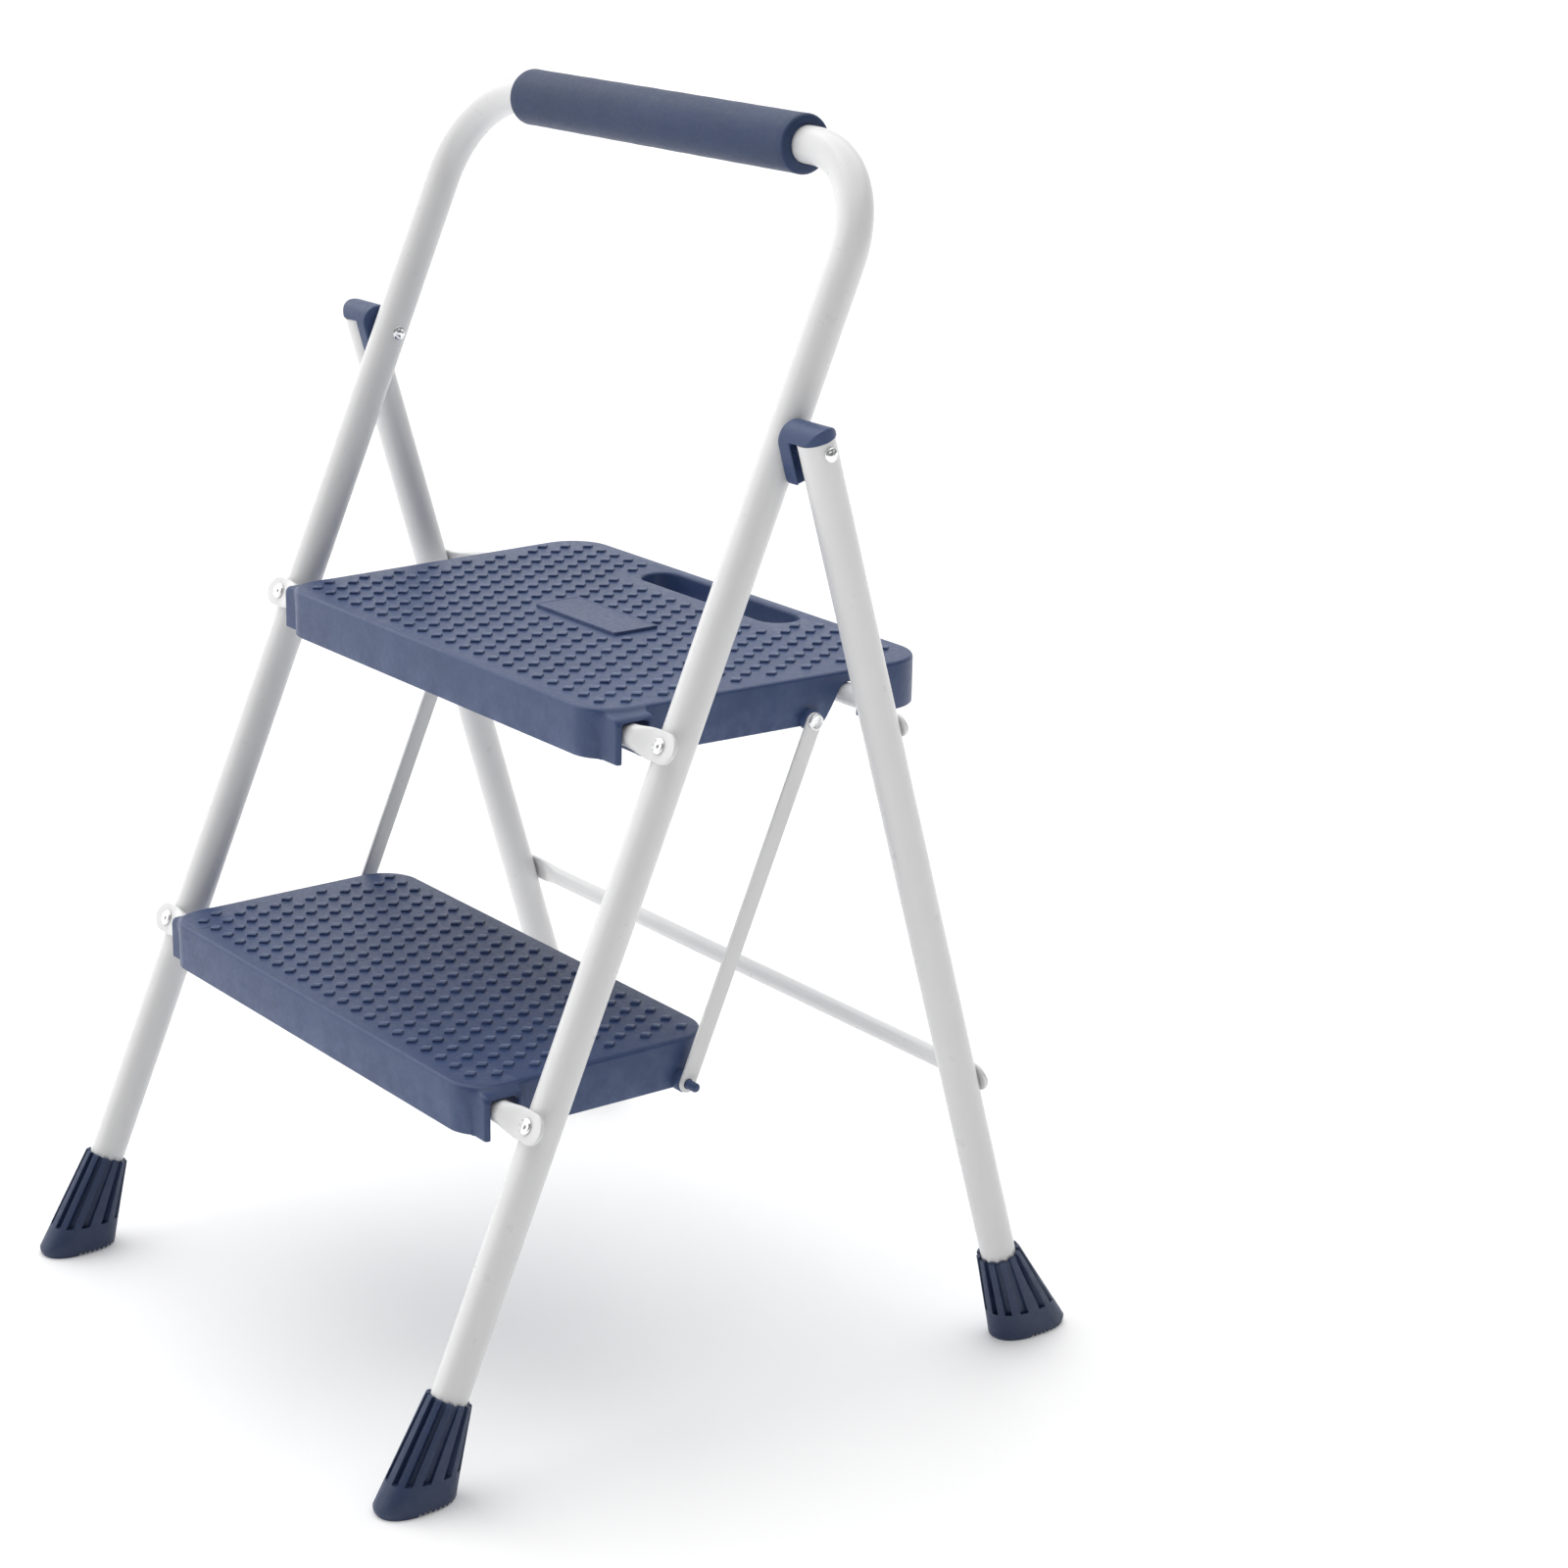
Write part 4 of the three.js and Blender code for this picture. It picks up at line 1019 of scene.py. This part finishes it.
def build_rear_frame():
    body = "rear_frame"
    cap = surface_of(cap_field, (-25.2, -15, -24), (15, 15, 19), FIELD_STEP)
    floor_along = -HINGE.z / MM / cos(REAR_LEAN)
    for name, side in SIDES.items():
        tube = straight_tube(side * REAR_HALF, floor_along + TUBE_FOOT, REAR_TUBE_TOP)
        add_piece(f"rear_tube_{name}", tube, REAR, body, "white_paint", [f"rear_leg_{name}"])
        shape, normals = mirrored(cap, side, REAR_HALF)
        add_piece(f"moulded_cap_{name}", shape, REAR, body, "tread_plastic", [f"hinge_cap_{name}"],
                  normals=normals)
        span = REAR_HALF - FRONT_HALF + 2 * LEG_RADIUS + 2 * GAP
        where = (side * (REAR_HALF + LEG_RADIUS + GAP), 0, 0)
        pin = fastened(dome_rivet(span, HINGE_PIN_HEAD, True), where, name)
        add_piece(f"hinge_pin_{name}", pin, REAR, body, "bright_metal", [f"hinge_rivet_{name}"])
        turn, out = SCREW["turn"], SCREW["out"]
        where = (side * (REAR_HALF - out * sin(turn)), -out * cos(turn), floor_along + SCREW["up"])
        screw = fastened(pan_screw(), where, "front", Matrix.Rotation(-side * turn, 4, "Z"))
        add_piece(f"boot_screw_{name}", screw, REAR, body, "bright_metal", [f"foot_screw_{name}"])
    for level, bar in (("top", UPPER_BAR), ("bottom", LOWER_BAR)):
        shape = cross_bar(bar["radius"], bar["eye"], REAR_HALF, EYE["out"] - bar["out"])
        shape = moved(shape, Matrix.Translation((0, bar["out"], bar["along"])))
        add_piece(f"rear_bar_{level}", shape, REAR, body, "white_paint", [f"rear_{level}_crossbar"])
        for name, side in SIDES.items():
            where = (side * REAR_HALF, EYE["out"] + EYE["half"] + GAP, bar["along"])
            rivet = fastened(dome_rivet(RIVET["grip"]), where, "rear")
            add_piece(f"rear_bar_rivet_{level}_{name}", rivet, REAR, body, "bright_metal",
                      [f"rear_{level}_rivet_{name}"])


def build_feet():
    for place, spec, half in (("front", FRONT_FOOT, FRONT_HALF), ("rear", REAR_FOOT, REAR_HALF)):
        shape = foot_shape(**spec)
        y = HINGE.y - HINGE.z * math.tan(spec["lean"])
        for name, side in SIDES.items():
            at = Matrix.Translation((side * half * MM, y, 0))
            add_piece(f"boot_{place}_{name}", shape, at, f"{place}_frame", "foot_plastic",
                      [f"{place}_foot_{name}"], sharp=38)


def build_treads():
    for level, plan, at in (("top", TOP_PLAN, TOP), ("bottom", BOTTOM_PLAN, BOTTOM)):
        is_top = level == "top"
        body = f"{level}_step"
        shapes = [tread_shape(plan, is_top), underside(plan)]
        shapes += [link_boss(plan, side) for side in (-1, 1)]
        if not is_top:
            shapes += [tread_pin(side) for side in (-1, 1)]
        add_piece(f"{level}_tread", merge(*shapes), at, body, "tread_plastic", [body])
        add_piece(f"{level}_tread_studs", studs(plan, is_top), at, body, "tread_plastic", sharp=25)
        low = (166, plan["front"] - 2, SKIRT_BOTTOM - 1.5)
        high = (NOTCH["lip"] + 2, NOTCH["to"] + 7, TREAD_TOP + 1)
        hood = surface_of(hood_field(plan), low, high, FIELD_STEP)
        for name, side in SIDES.items():
            shape, normals = mirrored(hood, side)
            add_piece(f"{level}_notch_hood_{name}", shape, at, body, "tread_plastic", normals=normals)
    add_piece("blank_plate", blank_plate(), TOP, "top_step", "tread_plastic", ["tread_plate"])
    outer = LINK_BAR["inner"] + LINK_BAR["thickness"] + GAP
    for name, side in SIDES.items():
        rivet = fastened(flat_rivet(11), (side * outer, *LINK_PIVOT), name)
        add_piece(f"link_head_{name}", rivet, TOP, "top_step", "bright_metal", [f"link_rivet_{name}"])
        add_piece(f"flat_link_{name}", link_shape(side), LINK, "link_bars", "white_paint", [f"link_bar_{name}"])


build_front_frame()
build_rear_frame()
build_feet()
build_treads()

# ---- studio ----
PHOTO_VIEW = {
    "lens": 78.715,
    "sensor": 36,
    "place": (1.9322, -1.2780, 1.1058),
    "right": (0.61012731, 0.79207755, 0.0189163),
    "up": (-0.24709016, 0.16753758, 0.95439908),
    "forward": (-0.75278889, 0.58697898, -0.29793382),
}
SUNS = {
    "key": {"toward": (-0.74, -0.62, 0.42), "softness": 90, "strength": 0.60},
    "top": {"toward": (-0.10, 0.20, 1.0), "softness": 80, "strength": 0.60},
}


def add_floor():
    half, strips = 40.0, 24
    rows = [-half + 2 * half * i / strips for i in range(strips + 1)]
    points, faces = skin([[(-half, y, 0), (half, y, 0)] for y in rows], caps=(False, False), closed=False)
    mesh = bpy.data.meshes.new("studio_floor")
    mesh.from_pydata(points, [], faces)
    floor = place("studio_floor", mesh)
    f = Finish("studio_floor", (0.94, 0.94, 0.942), 0.6)
    f.paint(0.004)
    f.polish(0.05, 3)
    f.plain("Specular IOR Level", 0.2)
    f.plain("Emission Color", (1, 1, 1, 1))
    f.plain("Emission Strength", 0.10)
    mesh.materials.append(f.material)


def add_sun(name, toward, softness, strength):
    """A broad soft light from a direction, as even as a large studio panel."""
    light = bpy.data.lights.new(name, "SUN")
    light.angle = radians(softness)
    light.energy = strength * pi
    place(name, light).rotation_euler = Vector(toward).to_track_quat("Z", "Y").to_euler()


def add_world():
    """An even pale surround with a wide bright panel behind the stool on its left."""
    world = bpy.data.worlds.new("studio")
    world.use_nodes = True
    tree = world.node_tree
    background = tree.nodes["Background"]
    background.inputs["Color"].default_value = (1, 1, 1, 1)
    place = tree.nodes.new("ShaderNodeTexCoord")
    toward = tree.nodes.new("ShaderNodeVectorMath")
    toward.operation = "DOT_PRODUCT"
    toward.inputs[1].default_value = Vector((-0.75, 0.62, 0.22)).normalized()
    tree.links.new(place.outputs["Generated"], toward.inputs[0])
    glow = tree.nodes.new("ShaderNodeMapRange")
    glow.interpolation_type = "SMOOTHSTEP"
    for name, number in (("From Min", 0.25), ("From Max", 0.95), ("To Min", 0.15), ("To Max", 0.95)):
        glow.inputs[name].default_value = number
    tree.links.new(toward.outputs["Value"], glow.inputs["Value"])
    tree.links.new(glow.outputs["Result"], background.inputs["Strength"])
    bpy.context.scene.world = world


def add_camera():
    """The photograph's view, fitted to it."""
    camera = bpy.data.cameras.new("photo_view")
    camera.lens = PHOTO_VIEW["lens"]
    camera.sensor_width = PHOTO_VIEW["sensor"]
    holder = place("photo_view", camera)
    right, up, forward = (Vector(PHOTO_VIEW[name]) for name in ("right", "up", "forward"))
    turn = Matrix((right, up, -forward)).transposed().to_4x4()
    holder.matrix_world = Matrix.Translation(PHOTO_VIEW["place"]) @ turn
    bpy.context.scene.camera = holder


add_floor()
add_world()
for name, sun in SUNS.items():
    add_sun(name, **sun)
add_camera()
bpy.context.scene.view_settings.view_transform = "Standard"
